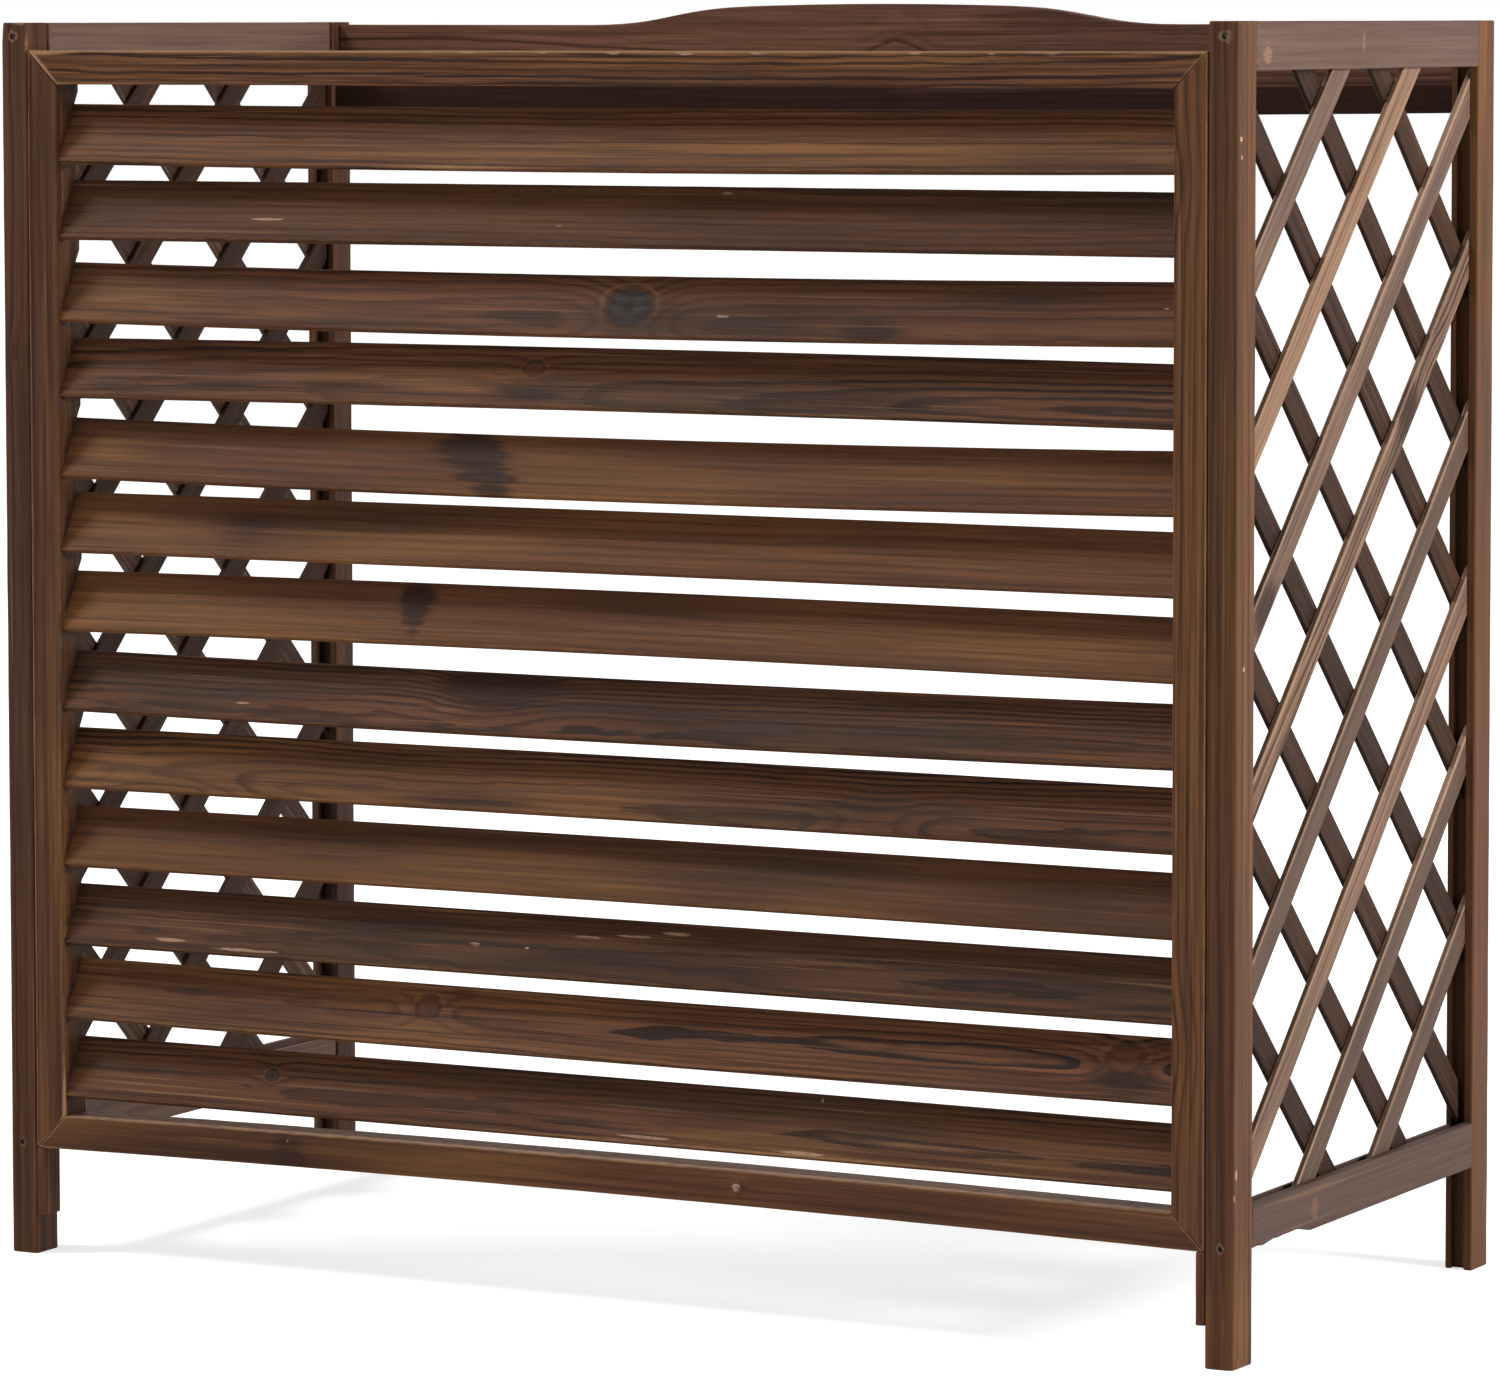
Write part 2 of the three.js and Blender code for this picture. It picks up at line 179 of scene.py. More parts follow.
@dataclass(frozen=True)
class Figure:
    """What the grain of one stick looks like.

    contrast: how clearly the growth rings show.
    ring_mm: width of one growth ring.
    bright: how light the wood is, 1 being the finish's own lightness; on a few inner strips it also holds
    painted light.
    warm: from -1, grey, to 1, golden.
    pith_mm: how far the tree's heart lies to the side of the stick's middle.
    depth_mm: how far the heart lies below the show face.
    slope: how much nearer the heart comes for each length along the stick.
    sway_mm: how far the rings wander sideways.
    crook_mm: how far the stick's middle has bent across, with its ends in place.
    belly_mm: how far the lower edge alone has bent, in the same way.
    """

    contrast: float = 0.7
    ring_mm: float = 3.4
    bright: float = 1.0
    warm: float = 0.0
    pith_mm: float = 4.0
    depth_mm: float = 24.0
    slope: float = 0.02
    sway_mm: float = 14.0
    crook_mm: float = 0.0
    belly_mm: float = 0.0
    marks: tuple[Mark, ...] = ()
    stains: tuple[Stain, ...] = ()
    chips: tuple[Chip, ...] = ()
    notches: tuple[Notch, ...] = ()


def linear(colour: str) -> tuple[float, float, float, float]:
    """Turns an sRGB hex colour to the linear values that a shader takes.

    Args:
        colour: the colour as #rrggbb.

    Returns:
        Red, green, blue and an alpha of 1.
    """
    parts = [int(colour[place : place + 2], 16) / 255 for place in (1, 3, 5)]
    red, green, blue = [p / 12.92 if p <= 0.04045 else ((p + 0.055) / 1.055) ** 2.4 for p in parts]
    return red, green, blue, 1.0


class Node(NamedTuple):
    """A kind of shader node.

    kind: the node's type.
    inputs: the inputs that values go to, in their order.
    output: the output that is used.
    settings: the node's own settings.
    """

    kind: str
    inputs: tuple[int | str, ...] = (0, 1)
    output: int | str = 0
    settings: dict[str, str] = {}


ADD, TIMES, DIVIDE, LEAST, MOST, ROOT, EXP, FRACT, FLOOR, ABS = (
    Node("ShaderNodeMath", settings={"operation": name})
    for name in "ADD MULTIPLY DIVIDE MINIMUM MAXIMUM SQRT EXPONENT FRACT FLOOR ABSOLUTE".split()
)
SHIFT, STRETCH = (Node("ShaderNodeVectorMath", settings={"operation": name}) for name in ("ADD", "MULTIPLY"))
SCALE = Node("ShaderNodeVectorMath", (0, 3), settings={"operation": "SCALE"})
LENGTH = Node("ShaderNodeVectorMath", (0,), "Value", {"operation": "LENGTH"})
RANGE = Node("ShaderNodeMapRange", (0, 1, 2, 3, 4))
EASE = RANGE._replace(settings={"interpolation_type": "SMOOTHSTEP"})
MIX = Node("ShaderNodeMix", (0, 6, 7), 2, {"data_type": "RGBA"})
NOISE = Node("ShaderNodeTexNoise", ("Vector", "Scale", "Detail", "Roughness"), "Fac")
RANDOM = Node("ShaderNodeTexWhiteNoise", ("W",), "Value", {"noise_dimensions": "1D"})
JOIN = Node("ShaderNodeCombineXYZ", (0, 1, 2))
SPLIT = Node("ShaderNodeSeparateXYZ")
ATTRIBUTE = Node("ShaderNodeAttribute", output="Vector")
PLACE = Node("ShaderNodeTexCoord", output="Object")
BUMP = Node("ShaderNodeBump", ("Strength", "Distance", "Height"))
OILED = Node("ShaderNodeBsdfPrincipled", ("Base Color", "Roughness", "Normal", "Specular IOR Level", "IOR"))
METAL = Node("ShaderNodeBsdfPrincipled", ("Base Color", "Roughness", "Metallic"))
MATT = Node("ShaderNodeBsdfDiffuse", ("Color",))
GLOW = Node("ShaderNodeEmission", ("Color", "Strength"))
SKY = Node("ShaderNodeBackground", ("Color", "Strength"))
BOTH = Node("ShaderNodeAddShader")
EITHER = Node("ShaderNodeMixShader", (0, 1, 2))
RAYS = Node("ShaderNodeLightPath")
SURFACE = Node("ShaderNodeOutputMaterial", ("Surface",))
WORLD = Node("ShaderNodeOutputWorld", ("Surface",))


def add(tree: bpy.types.NodeTree, node: Node, *values: Any, **settings: Any) -> Socket | None:
    """Adds one node to a material, with its settings and its links.

    Args:
        tree: the material's node tree.
        node: the kind of node.
        values: for each of the kind's inputs, a value or the output that feeds it.
        settings: settings besides the kind's.

    Returns:
        The output that is used, or nothing from a node that has none.
    """
    made = tree.nodes.new(node.kind)
    for name, value in {**node.settings, **settings}.items():
        setattr(made, name, value)
    for name, value in zip(node.inputs, values):
        if isinstance(value, Socket):
            tree.links.new(value, made.inputs[name])
        else:
            made.inputs[name].default_value = value
    return made.outputs[node.output] if made.outputs else None


def new_material(name: str) -> tuple[bpy.types.Material, bpy.types.NodeTree]:
    """Makes an empty material.

    Args:
        name: what the real material is.

    Returns:
        The material and its node tree.
    """
    material = bpy.data.materials.new(name)
    material.use_nodes = True
    material.node_tree.nodes.clear()
    return material, material.node_tree


class Pattern(Enum):
    """The noises in the wood: their size in mm along and across the grain, their detail and roughness."""

    SWAY = (416.67, 142.86, 1.0, 0.5)
    LIFT = (303.03, 250.0, 1.0, 0.5)
    RIPPLE = (62.5, 11.111, 2.0, 0.5)
    FRAY = (38.462, 3.125, 2.0, 0.5)
    FIBRE = (76.923, 1.6129, 3.0, 0.62)
    STREAK = (200.0, 4.1667, 3.0, 0.6)
    HAIR = (250.0, 2.5, 3.0, 0.6)
    DRIFT = (294.12, 41.667, 2.0, 0.5)
    PATCH = (588.24, 90.909, 2.0, 0.5)
    SPECK = (11.111, 2.0, 2.0, 0.5)


class Grain:
    """What the wood's shader reads of one stick: its attributes, and the noises in its wood."""

    def __init__(self, node: Callable[..., Socket]) -> None:
        """Reads the attributes and lays out the noises.

        Args:
            node: adds a node to the material.
        """
        self.node = node
        grain, self.along, self.across, self.through = self.parts("grain")
        _, self.half_across, self.half_through, self.end_gap = self.parts("stock")
        _, self.pith, self.depth, self.slope = self.parts("heart")
        _, self.contrast, self.ring, self.bright = self.parts("figure")
        _, self.warm, self.seed, self.sway_size = self.parts("cast")
        _, self.char_paint, self.gold_paint, self.worn_and_sheen_paint = self.parts("paint")
        _, self.mark_u, self.mark_v, self.mark_radius = self.parts("mark_place")
        _, self.mark_tone, self.swirl, self.cover = self.parts("mark_kind")
        shift = node(STRETCH, node(JOIN, self.seed, self.seed, self.seed), (3.0, 1.7, 2.3))
        self.place = node(SHIFT, grain, shift)
        strays = (Pattern.SWAY, Pattern.LIFT, Pattern.RIPPLE, Pattern.FRAY)
        self.sway, self.lift, self.ripple, self.fray = (node(ADD, self.noise(p), -0.5) for p in strays)
        tones = (Pattern.FIBRE, Pattern.STREAK, Pattern.HAIR, Pattern.DRIFT, Pattern.PATCH, Pattern.SPECK)
        self.fibre, self.streak, self.hair, self.drift, self.patch, self.speck = map(self.noise, tones)

    def parts(self, name: str) -> list[Socket]:
        """Reads one attribute as a whole and as its three numbers."""
        vector = self.node(ATTRIBUTE, attribute_name=name)
        return [vector, *self.node(SPLIT, vector).node.outputs]

    def noise(self, pattern: Pattern) -> Socket:
        """Adds one noise, drawn out along the grain.

        Args:
            pattern: its sizes, detail and roughness.

        Returns:
            Its height, from 0 to 1.
        """
        along_mm, across_mm, detail, roughness = pattern.value
        along, across = 1 / (along_mm * MM), 1 / (across_mm * MM)
        place = self.node(STRETCH, self.place, (along, across, across))
        return self.node(NOISE, place, 1.0, detail, roughness)


class Ramp:
    """The soft steps in the wood: where each starts and ends, and its two levels if not 0 and 1.

    Distances in a ring and round a mark are shares of the ring's width and of the mark's radius.
    """

    RING_DARKENS = (0.34, 0.84)
    RING_ENDS = (0.9, 1.0, 1.0, 0.0)
    YEARS_DIFFER = (0.0, 1.0, 0.25, 1.1)
    GOLD_PATCHES = (0.52, 0.72)
    GOLD_STREAKS = (0.25, 0.6)
    GOLD_ON_RINGS = (0.1, 0.9, 1.0, 0.35)
    GREY_CLOUDS = (0.5, 0.75)
    SHADES = (0.3, 0.7, -1.0, 1.0)
    DARK_HAIRS = (0.3, 0.45, 1.0, 0.0)
    PALE_HAIRS = (0.6, 0.72)
    BURN_AND_SHADE_STREAKS = (0.3, 0.62, 0.55, 1.25)
    BURN_AND_SHADE_EDGE = (0.25, 0.85, 0.0, 0.9)
    PALE_MARKS = (-0.1, 0.1, 1.0, 0.0)
    DARK_MARKS = (-0.1, 0.1)
    RIMMED_MARKS = (-0.1, 0.1, 0.0, 0.5)
    TORN_SPECKS = (0.38, 0.5, 1.0, 0.0)
    MARK_EDGE = (0.8, 1.05, 1.0, 0.0)
    RIM_STARTS = (0.7, 0.95)
    RIM_ENDS = (1.0, 1.3, 1.0, 0.0)
    CORE_EDGE = (0.12, 0.42, 1.0, 0.0)
    HALO_STARTS = (1.22, 1.36)
    HALO_ENDS = (1.42, 1.6, 1.0, 0.0)
    HALO_SIDE = (-1.2, 0.6, 0.0, 0.2)
    RUBBED_PATCHES = (0.35, 0.65)


@dataclass(frozen=True)
class WoodFinish:
    """Carbonised fir: softwood scorched and brushed, then oiled.

    Scorching turns the soft early wood mid brown and leaves the hard late wood as dark lines, with grey
    burnt clouds and golden places that the flame missed. Brushing lifts the rings a little, so the
    surface is satin along the grain and catches light on its rubbed, paler arrises.

    rubbing, clouding: how much the arrises are rubbed, and how patchy the scorching is.
    relief_mm: how far the brushed late wood stands up.
    lift_mm, ripple_mm, fray_mm: how far the rings stray slowly, in waves and along the fibres.
    sharp_mm, rub_mm: where the rubbing of an arris starts to fade, and where it has gone.
    wear_mm, ragged_mm: what a worn place adds to that width, and how far the width varies.
    """

    name: str
    early: str = "#5c3a25"
    late: str = "#21110b"
    golden: str = "#754e2c"
    grey: str = "#402e23"
    # The colour of burnt places, and also of painted shade
    char: str = "#28160f"
    heart: str = "#150d0b"
    knot: str = "#613a22"
    ash: str = "#302b2a"
    # Rubbed pale wood, also the colour of a painted highlight on the right outer strips
    worn: str = "#9a7452"
    # Raw wood, also the colour of painted light on the bottom rail's top and bottom faces
    raw: str = "#a5826a"
    rubbing: float = 0.4
    clouding: float = 0.7
    rough: float = 0.62
    shine: float = 0.12
    ior: float = 1.5
    relief_mm: float = 0.25
    lift_mm: float = 12.0
    ripple_mm: float = 3.4
    fray_mm: float = 1.6
    sharp_mm: float = 0.2
    rub_mm: float = 1.2
    wear_mm: float = 2.2
    ragged_mm: float = 1.6

    def build(self) -> bpy.types.Material:
        """Makes the material.

        Returns:
            The material, which reads the attributes that Timber writes.
        """
        material, tree = new_material(self.name)
        node = partial(add, tree)
        grain = Grain(node)
        squares = (node(TIMES, span, span) for span in (grain.mark_u, grain.mark_v))
        gap = node(ROOT, node(ADD, *squares))
        line = self.rings(grain, gap)
        colour = self.scorched(grain, line)
        colour, rim, bared = self.marked(grain, gap, line, colour)
        colour = self.rubbed(grain, bared, colour)
        height = node(ADD, node(TIMES, line, 0.7), node(TIMES, grain.fibre, 0.6))
        height = node(ADD, height, node(TIMES, rim, -0.8))
        rough = node(RANGE, grain.fibre, 0.3, 0.7, self.rough - 0.08, self.rough + 0.1)
        bump = node(BUMP, 0.6, self.relief_mm * MM, height)
        node(SURFACE, node(OILED, colour, rough, bump, self.shine, self.ior))
        return material

    def rings(self, grain: Grain, gap: Socket) -> Socket:
        """Draws the growth rings, shells round the tree's heart, which lies beside and below the show face.

        Args:
            grain: the stick.
            gap: distance from the nearest mark, in shares of its radius.

        Returns:
            How much of each point is dark late wood.
        """
        node = grain.node
        bulge = node(EXP, node(TIMES, node(TIMES, gap, gap), -0.22))
        push = node(TIMES, node(TIMES, bulge, grain.mark_radius), grain.swirl)
        side = node(ADD, grain.across, node(TIMES, grain.pith, -1.0))
        side = node(ADD, side, node(TIMES, grain.sway, grain.sway_size))
        down = node(ADD, grain.through, node(TIMES, grain.depth, -1.0))
        down = node(ADD, down, node(TIMES, grain.along, grain.slope))
        down = node(ADD, down, node(TIMES, grain.lift, self.lift_mm * MM))
        shell = node(ROOT, node(ADD, node(TIMES, side, side), node(TIMES, down, down)))
        waves = node(ADD, shell, node(TIMES, grain.ripple, self.ripple_mm * MM))
        shell = node(ADD, waves, node(ADD, node(TIMES, grain.fray, self.fray_mm * MM), push))
        count = node(DIVIDE, shell, grain.ring)
        within = node(FRACT, count)
        year = node(ADD, node(FLOOR, count), node(TIMES, grain.seed, 57.0))
        late = node(TIMES, node(EASE, within, *Ramp.RING_DARKENS), node(EASE, within, *Ramp.RING_ENDS))
        late = node(TIMES, late, node(EASE, node(RANDOM, year), *Ramp.YEARS_DIFFER))
        return node(TIMES, late, grain.contrast)

    def scorched(self, grain: Grain, line: Socket) -> Socket:
        """Colours the wood: early to late wood, golden or grey by the stick's cast, then the burnt places
        and the painted shade.

        Args:
            grain: the stick.
            line: how much of each point is late wood.

        Returns:
            The colour.
        """
        node = grain.node
        base = node(MIX, line, linear(self.early), linear(self.late))
        gold = node(TIMES, node(EASE, grain.patch, *Ramp.GOLD_PATCHES), self.clouding)
        gold = node(ADD, gold, node(TIMES, grain.warm, 0.6))
        gold = node(ADD, gold, node(TIMES, grain.gold_paint, node(EASE, grain.streak, *Ramp.GOLD_STREAKS)))
        gold = node(MOST, node(TIMES, gold, node(EASE, line, *Ramp.GOLD_ON_RINGS)), 0.0)
        base = node(MIX, node(LEAST, gold, 0.9), base, linear(self.golden))
        grey = node(TIMES, node(EASE, grain.drift, *Ramp.GREY_CLOUDS), self.clouding)
        grey = node(MOST, node(ADD, grey, node(TIMES, grain.warm, -0.7)), 0.0)
        base = node(MIX, node(LEAST, grey, 0.75), base, linear(self.grey))
        shade = node(ADD, node(TIMES, grain.fibre, 0.35), node(TIMES, grain.streak, 0.65))
        reach = node(ADD, node(TIMES, grain.contrast, 0.26), 0.2)
        shade = node(ADD, node(TIMES, node(EASE, shade, *Ramp.SHADES), reach), 1.0)
        base = node(SCALE, base, node(TIMES, shade, grain.bright))

        # Thin dark and pale lines, like scratches along the fibres, clearer where the rings are clear
        clear = node(ADD, node(TIMES, grain.contrast, 0.55), 0.2)
        dark = node(TIMES, node(EASE, grain.hair, *Ramp.DARK_HAIRS), clear)
        base = node(MIX, dark, base, linear(self.late))
        pale = node(TIMES, node(EASE, grain.hair, *Ramp.PALE_HAIRS), node(TIMES, clear, 0.55))
        base = node(MIX, pale, base, linear(self.worn))

        # Burnt places, and painted shade laid the same way, have an edge that runs out along the fibres
        burn_and_shade = node(TIMES, grain.char_paint, node(EASE, grain.streak, *Ramp.BURN_AND_SHADE_STREAKS))
        burn_and_shade = node(ADD, burn_and_shade, node(TIMES, node(ADD, grain.drift, -0.5), 0.5))
        return node(MIX, node(EASE, burn_and_shade, *Ramp.BURN_AND_SHADE_EDGE), base, linear(self.char))

    def marked(self, grain: Grain, gap: Socket, line: Socket, base: Socket) -> tuple[Socket, Socket, Socket]:
        """Draws the marks: knots in a dark rim with a pale line round it, torn raw places and nails, and
        wide pale marks that are painted light.

        Args:
            grain: the stick.
            gap: distance from the nearest mark, in shares of its radius.
            line: how much of each point is late wood.
            base: the colour so far.

        Returns:
            The colour, how much of each point is a knot's rim, and how much is raw, painted light included.
        """
        node = grain.node
        tone = grain.mark_tone
        rough = node(TIMES, node(TIMES, grain.fray, 1.6), node(EASE, tone, *Ramp.PALE_MARKS))
        edge = node(ADD, gap, node(ADD, node(TIMES, grain.ripple, 0.7), rough))
        dark = node(MOST, tone, 0.0)
        raw = node(MOST, node(TIMES, tone, -1.0), 0.0)
        torn = node(TIMES, node(TIMES, node(EASE, grain.speck, *Ramp.TORN_SPECKS), raw), -0.7)
        disc = node(TIMES, node(EASE, edge, *Ramp.MARK_EDGE), grain.cover)
        disc = node(TIMES, disc, node(ADD, torn, 1.0))
        rim = node(TIMES, node(EASE, edge, *Ramp.RIM_STARTS), node(EASE, edge, *Ramp.RIM_ENDS))
        rim = node(TIMES, node(TIMES, rim, grain.cover), node(EASE, tone, *Ramp.RIMMED_MARKS))
        core = node(TIMES, node(TIMES, node(EASE, gap, *Ramp.CORE_EDGE), grain.cover), dark)
        knot = node(MIX, dark, node(MIX, raw, linear(self.knot), linear(self.raw)), linear(self.ash))
        veins = node(TIMES, node(TIMES, line, 0.7), node(EASE, tone, *Ramp.DARK_MARKS))
        base = node(MIX, disc, base, node(MIX, veins, knot, linear(self.heart)))
        halo = node(TIMES, node(EASE, edge, *Ramp.HALO_STARTS), node(EASE, edge, *Ramp.HALO_ENDS))
        halo = node(TIMES, halo, node(EASE, grain.mark_v, *Ramp.HALO_SIDE))
        base = node(MIX, node(TIMES, halo, node(TIMES, grain.swirl, grain.cover)), base, linear(self.worn))
        base = node(MIX, node(MOST, rim, core), base, linear(self.heart))
        return base, rim, node(TIMES, disc, raw)

    def rubbed(self, grain: Grain, bared: Socket, base: Socket) -> Socket:
        """Rubs the arrises pale, by the distance to the nearest one; the paint also lays a painted highlight
        on some arrises.

        Args:
            grain: the stick.
            bared: how much of each point is raw already.
            base: the colour so far.

        Returns:
            The colour.
        """
        node = grain.node
        to_side = node(ADD, grain.half_across, node(TIMES, node(ABS, grain.across), -1.0))
        to_face = node(ADD, grain.half_through, node(TIMES, node(ABS, grain.through), -1.0))
        to_arris = node(ADD, node(LEAST, to_side, grain.end_gap), to_face)
        to_arris = node(ADD, to_arris, node(TIMES, node(ADD, grain.speck, -0.5), self.ragged_mm * MM))
        reach = node(ADD, node(TIMES, grain.worn_and_sheen_paint, self.wear_mm * MM), self.rub_mm * MM)
        strength = node(TIMES, node(EASE, grain.patch, *Ramp.RUBBED_PATCHES), self.rubbing)
        strength = node(ADD, strength, grain.worn_and_sheen_paint)
        near = node(EASE, to_arris, self.sharp_mm * MM, reach, 1.0, 0.0)
        share = node(LEAST, node(TIMES, near, strength), 0.95)
        share = node(TIMES, share, node(ADD, node(TIMES, bared, -1.0), 1.0))
        return node(MIX, share, base, linear(self.worn))


@dataclass(frozen=True)
class SteelFinish:
    """Zinc-plated screw steel gone dull: grey metal with small dark specks of grime.

    grime_from_to, rough_levels: where in the specks the grime sets in, and how rough the steel is.
    """

    name: str = "dull zinc screw steel"
    colour: str = "#5b5650"
    grime: str = "#241d19"
    speck_mm: float = 1.1111
    metallic: float = 0.9
    grime_from_to: tuple[float, float] = (0.4, 0.62)
    rough_levels: tuple[float, float] = (0.35, 0.7)

    def build(self) -> bpy.types.Material:
        """Makes the material.

        Returns:
            The material, which reads Object coordinates.
        """
        material, tree = new_material(self.name)
        node = partial(add, tree)
        speck = node(NOISE, node(PLACE), 1 / (self.speck_mm * MM), 3.0)
        grimy = node(EASE, speck, *self.grime_from_to)
        colour = node(MIX, grimy, linear(self.colour), linear(self.grime))
        rough = node(RANGE, speck, 0.3, 0.7, *self.rough_levels)
        node(SURFACE, node(METAL, colour, rough, self.metallic))
        return material


def select_only(piece: bpy.types.Object) -> None:
    """Selects one object alone and makes it the active one.

    Args:
        piece: the object.
    """
    bpy.ops.object.select_all(action="DESELECT")
    piece.select_set(True)
    bpy.context.view_layer.objects.active = piece


@dataclass
class Timber:
    """One stick of wood, finished from its plain solid.

    node: the solid's name.
    slot: the name of a material slot in the record; it is not used.
    face, run: the way its show side looks and the way it runs.
    mitre: 1 where its longer edge is on the positive side across, -1 on the other, 0 for square ends.
    cut_mm: length of the short lengths that it is cut into.
    rips: how many lines divide it along the grain.
    wobble_mm, wander_mm: how far the arrises wander, and over what length.
    piece: the finished stick.
    axes: the ways along, across and through the stick, one to a row.
    middle, half: the stick's middle and half its size, along those axes.
    """

    node: str
    slot: str
    material: bpy.types.Material
    face: Face
    run: Run
    figure: Figure
    mitre: int = 0
    cut_mm: float = 14.0
    rips: int = 3
    wobble_mm: float = 0.35
    wander_mm: float = 30.0
    seed: float = field(init=False)
    piece: bpy.types.Object = field(init=False)
    axes: np.ndarray = field(init=False)
    middle: np.ndarray = field(init=False)
    half: np.ndarray = field(init=False)

    def build(self) -> None:
        """Makes the finished stick, which takes its solid's place."""
        self.seed = random.Random(self.node).random()
        self.copy_solid()
        self.measure()
        self.divide()
        self.wear()
        self.describe()
        self.bend()
        self.smooth()
        mesh = self.piece.data
        mesh.materials.clear()
        mesh.materials.append(self.material)
        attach(self.piece, BODY)
        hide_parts(self.node)
        LOG.info("%s: %d faces", self.piece.name, len(mesh.polygons))

    def points(self) -> np.ndarray:
        """Reads the places of the mesh's vertices, one to a row."""
        values = np.zeros(len(self.piece.data.vertices) * 3)
        self.piece.data.vertices.foreach_get("co", values)
        return values.reshape(-1, 3)

    def move(self, points: np.ndarray) -> None:
        """Puts the mesh's vertices at new places."""
        self.piece.data.vertices.foreach_set("co", points.ravel())
        self.piece.data.update()

    def store(self, name: str, rows: np.ndarray, domain: str = "POINT") -> None:
        """Stores three numbers for each vertex or face corner under a name."""
        attribute = self.piece.data.attributes.new(name, "FLOAT_VECTOR", domain)
        attribute.data.foreach_set("vector", np.ascontiguousarray(rows, np.float32).ravel())

    def copy_solid(self) -> None:
        """Copies the solid's mesh and joins its loose triangles into whole faces."""
        self.piece = bpy.data.objects.new(f"{self.node}_timber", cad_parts[self.node].data.copy())
        bpy.context.scene.collection.objects.link(self.piece)
        select_only(self.piece)
        bpy.ops.mesh.customdata_custom_splitnormals_clear()
        bpy.ops.object.mode_set(mode="EDIT")
        bpy.ops.mesh.select_all(action="SELECT")
        bpy.ops.mesh.remove_doubles(threshold=SAME_POINT_MM * MM)
        bpy.ops.mesh.dissolve_limited(angle_limit=math.radians(SAME_FACE_DEG))
        bpy.ops.object.mode_set(mode="OBJECT")

    def measure(self) -> None:
        """Finds the way the stick runs, its show side and its size from its own faces."""
        points = self.points()
        mesh = self.piece.data
        run = np.array(self.run.value)
        if self.run is Run.SLANTED:
            edges = (points[edge.vertices[1]] - points[edge.vertices[0]] for edge in mesh.edges)
            run = max(edges, key=lambda step: float(step @ step))
            run *= math.copysign(1.0, run[2]) / np.linalg.norm(run)
        facing = (f for f in mesh.polygons if np.array(f.normal) @ np.array(self.face.value) > FACING)
        through = np.array(max(facing, key=lambda f: f.area).normal)
        through -= (through @ run) * run
        through /= np.linalg.norm(through)
        self.axes = np.array([run, np.cross(through, run), through])
        spans = points @ self.axes.T
        low, high = spans.min(0), spans.max(0)
        self.middle = (low + high) / 2
        self.half = (high - low) / 2

    def divide(self) -> None:
        """Cuts the stick across at even steps, and along the grain a few times."""
        select_only(self.piece)
        bpy.ops.object.mode_set(mode="EDIT")
        steps = max(2, round(2 * self.half[0] / (self.cut_mm * MM)))
        places = [(0, 2 * self.half[0] * (k / steps - 0.5)) for k in range(1, steps)]
        places += [(1, 2 * self.half[1] * ((k + 1) / (self.rips + 1) - 0.5)) for k in range(self.rips)]
        for axis, offset in places:
            bpy.ops.mesh.select_all(action="SELECT")
            point = self.axes[axis] * (self.middle[axis] + offset)
            bpy.ops.mesh.bisect(plane_co=tuple(point), plane_no=tuple(self.axes[axis]))
        bpy.ops.object.mode_set(mode="OBJECT")

    def wear(self) -> None:
        """Moves the arrises inwards by a little that wanders, and by more at chips and notches."""
        points = self.points()
        spots = points @ self.axes.T - self.middle
        shares = np.abs(spots) / self.half
        for index in np.nonzero((shares[:, 1:] > ARRIS_SHARES).all(1))[0]:
            along, across, through = spots[index]
            side, depth = math.copysign(1.0, across), math.copysign(1.0, through)
            # Its place in the noise, which lies apart for each arris and each stick
            spot = Vector((along / (self.wander_mm * MM), 7.0 * side, 3.0 * depth + self.seed * 90))
            drop = (0.5 + 0.5 * noise.noise(spot)) * self.wobble_mm * MM
            for chip in self.figure.chips:
                gap = np.array([chip.along_mm, chip.across_mm, chip.through_mm]) * MM - spots[index]
                near = math.exp(-float(gap @ gap) / (chip.reach_mm * MM) ** 2)
                drop += chip.depth_mm * MM * near * (0.7 + 0.6 * noise.noise(spot * 5.0))
            points[index] -= (self.axes[1] * side + self.axes[2] * depth) * drop * ARRIS_SHARE
        for notch in self.figure.notches:
            for index in np.nonzero(shares[:, 1] > NOTCH_SHARE)[0]:
                along, across, _ = spots[index] / MM
                rise, fall = (along - notch.start_mm) / NOTCH_RISE_MM, (notch.end_mm - along) / NOTCH_FALL_MM
                inside = min(rise, fall, 1.0)
                if across < 0 < inside:
                    rough = 0.75 + 0.5 * noise.noise(Vector((along / NOTCH_ROUGH_MM, across, self.seed)))
                    points[index] += self.axes[1] * inside * rough * notch.depth_mm * MM
        self.move(points)

    def bend(self) -> None:
        """Gives the stick its crook and its belly, which leave both its ends where they are."""
        points = self.points()
        spots = (points @ self.axes.T - self.middle) / self.half
        low_shares = np.clip((1 - spots[:, 1]) / 2, 0, 1)
        bow_mm = self.figure.crook_mm + self.figure.belly_mm * low_shares
        self.move(points + np.outer((1 - spots[:, 0] ** 2) * bow_mm * MM, self.axes[1]))

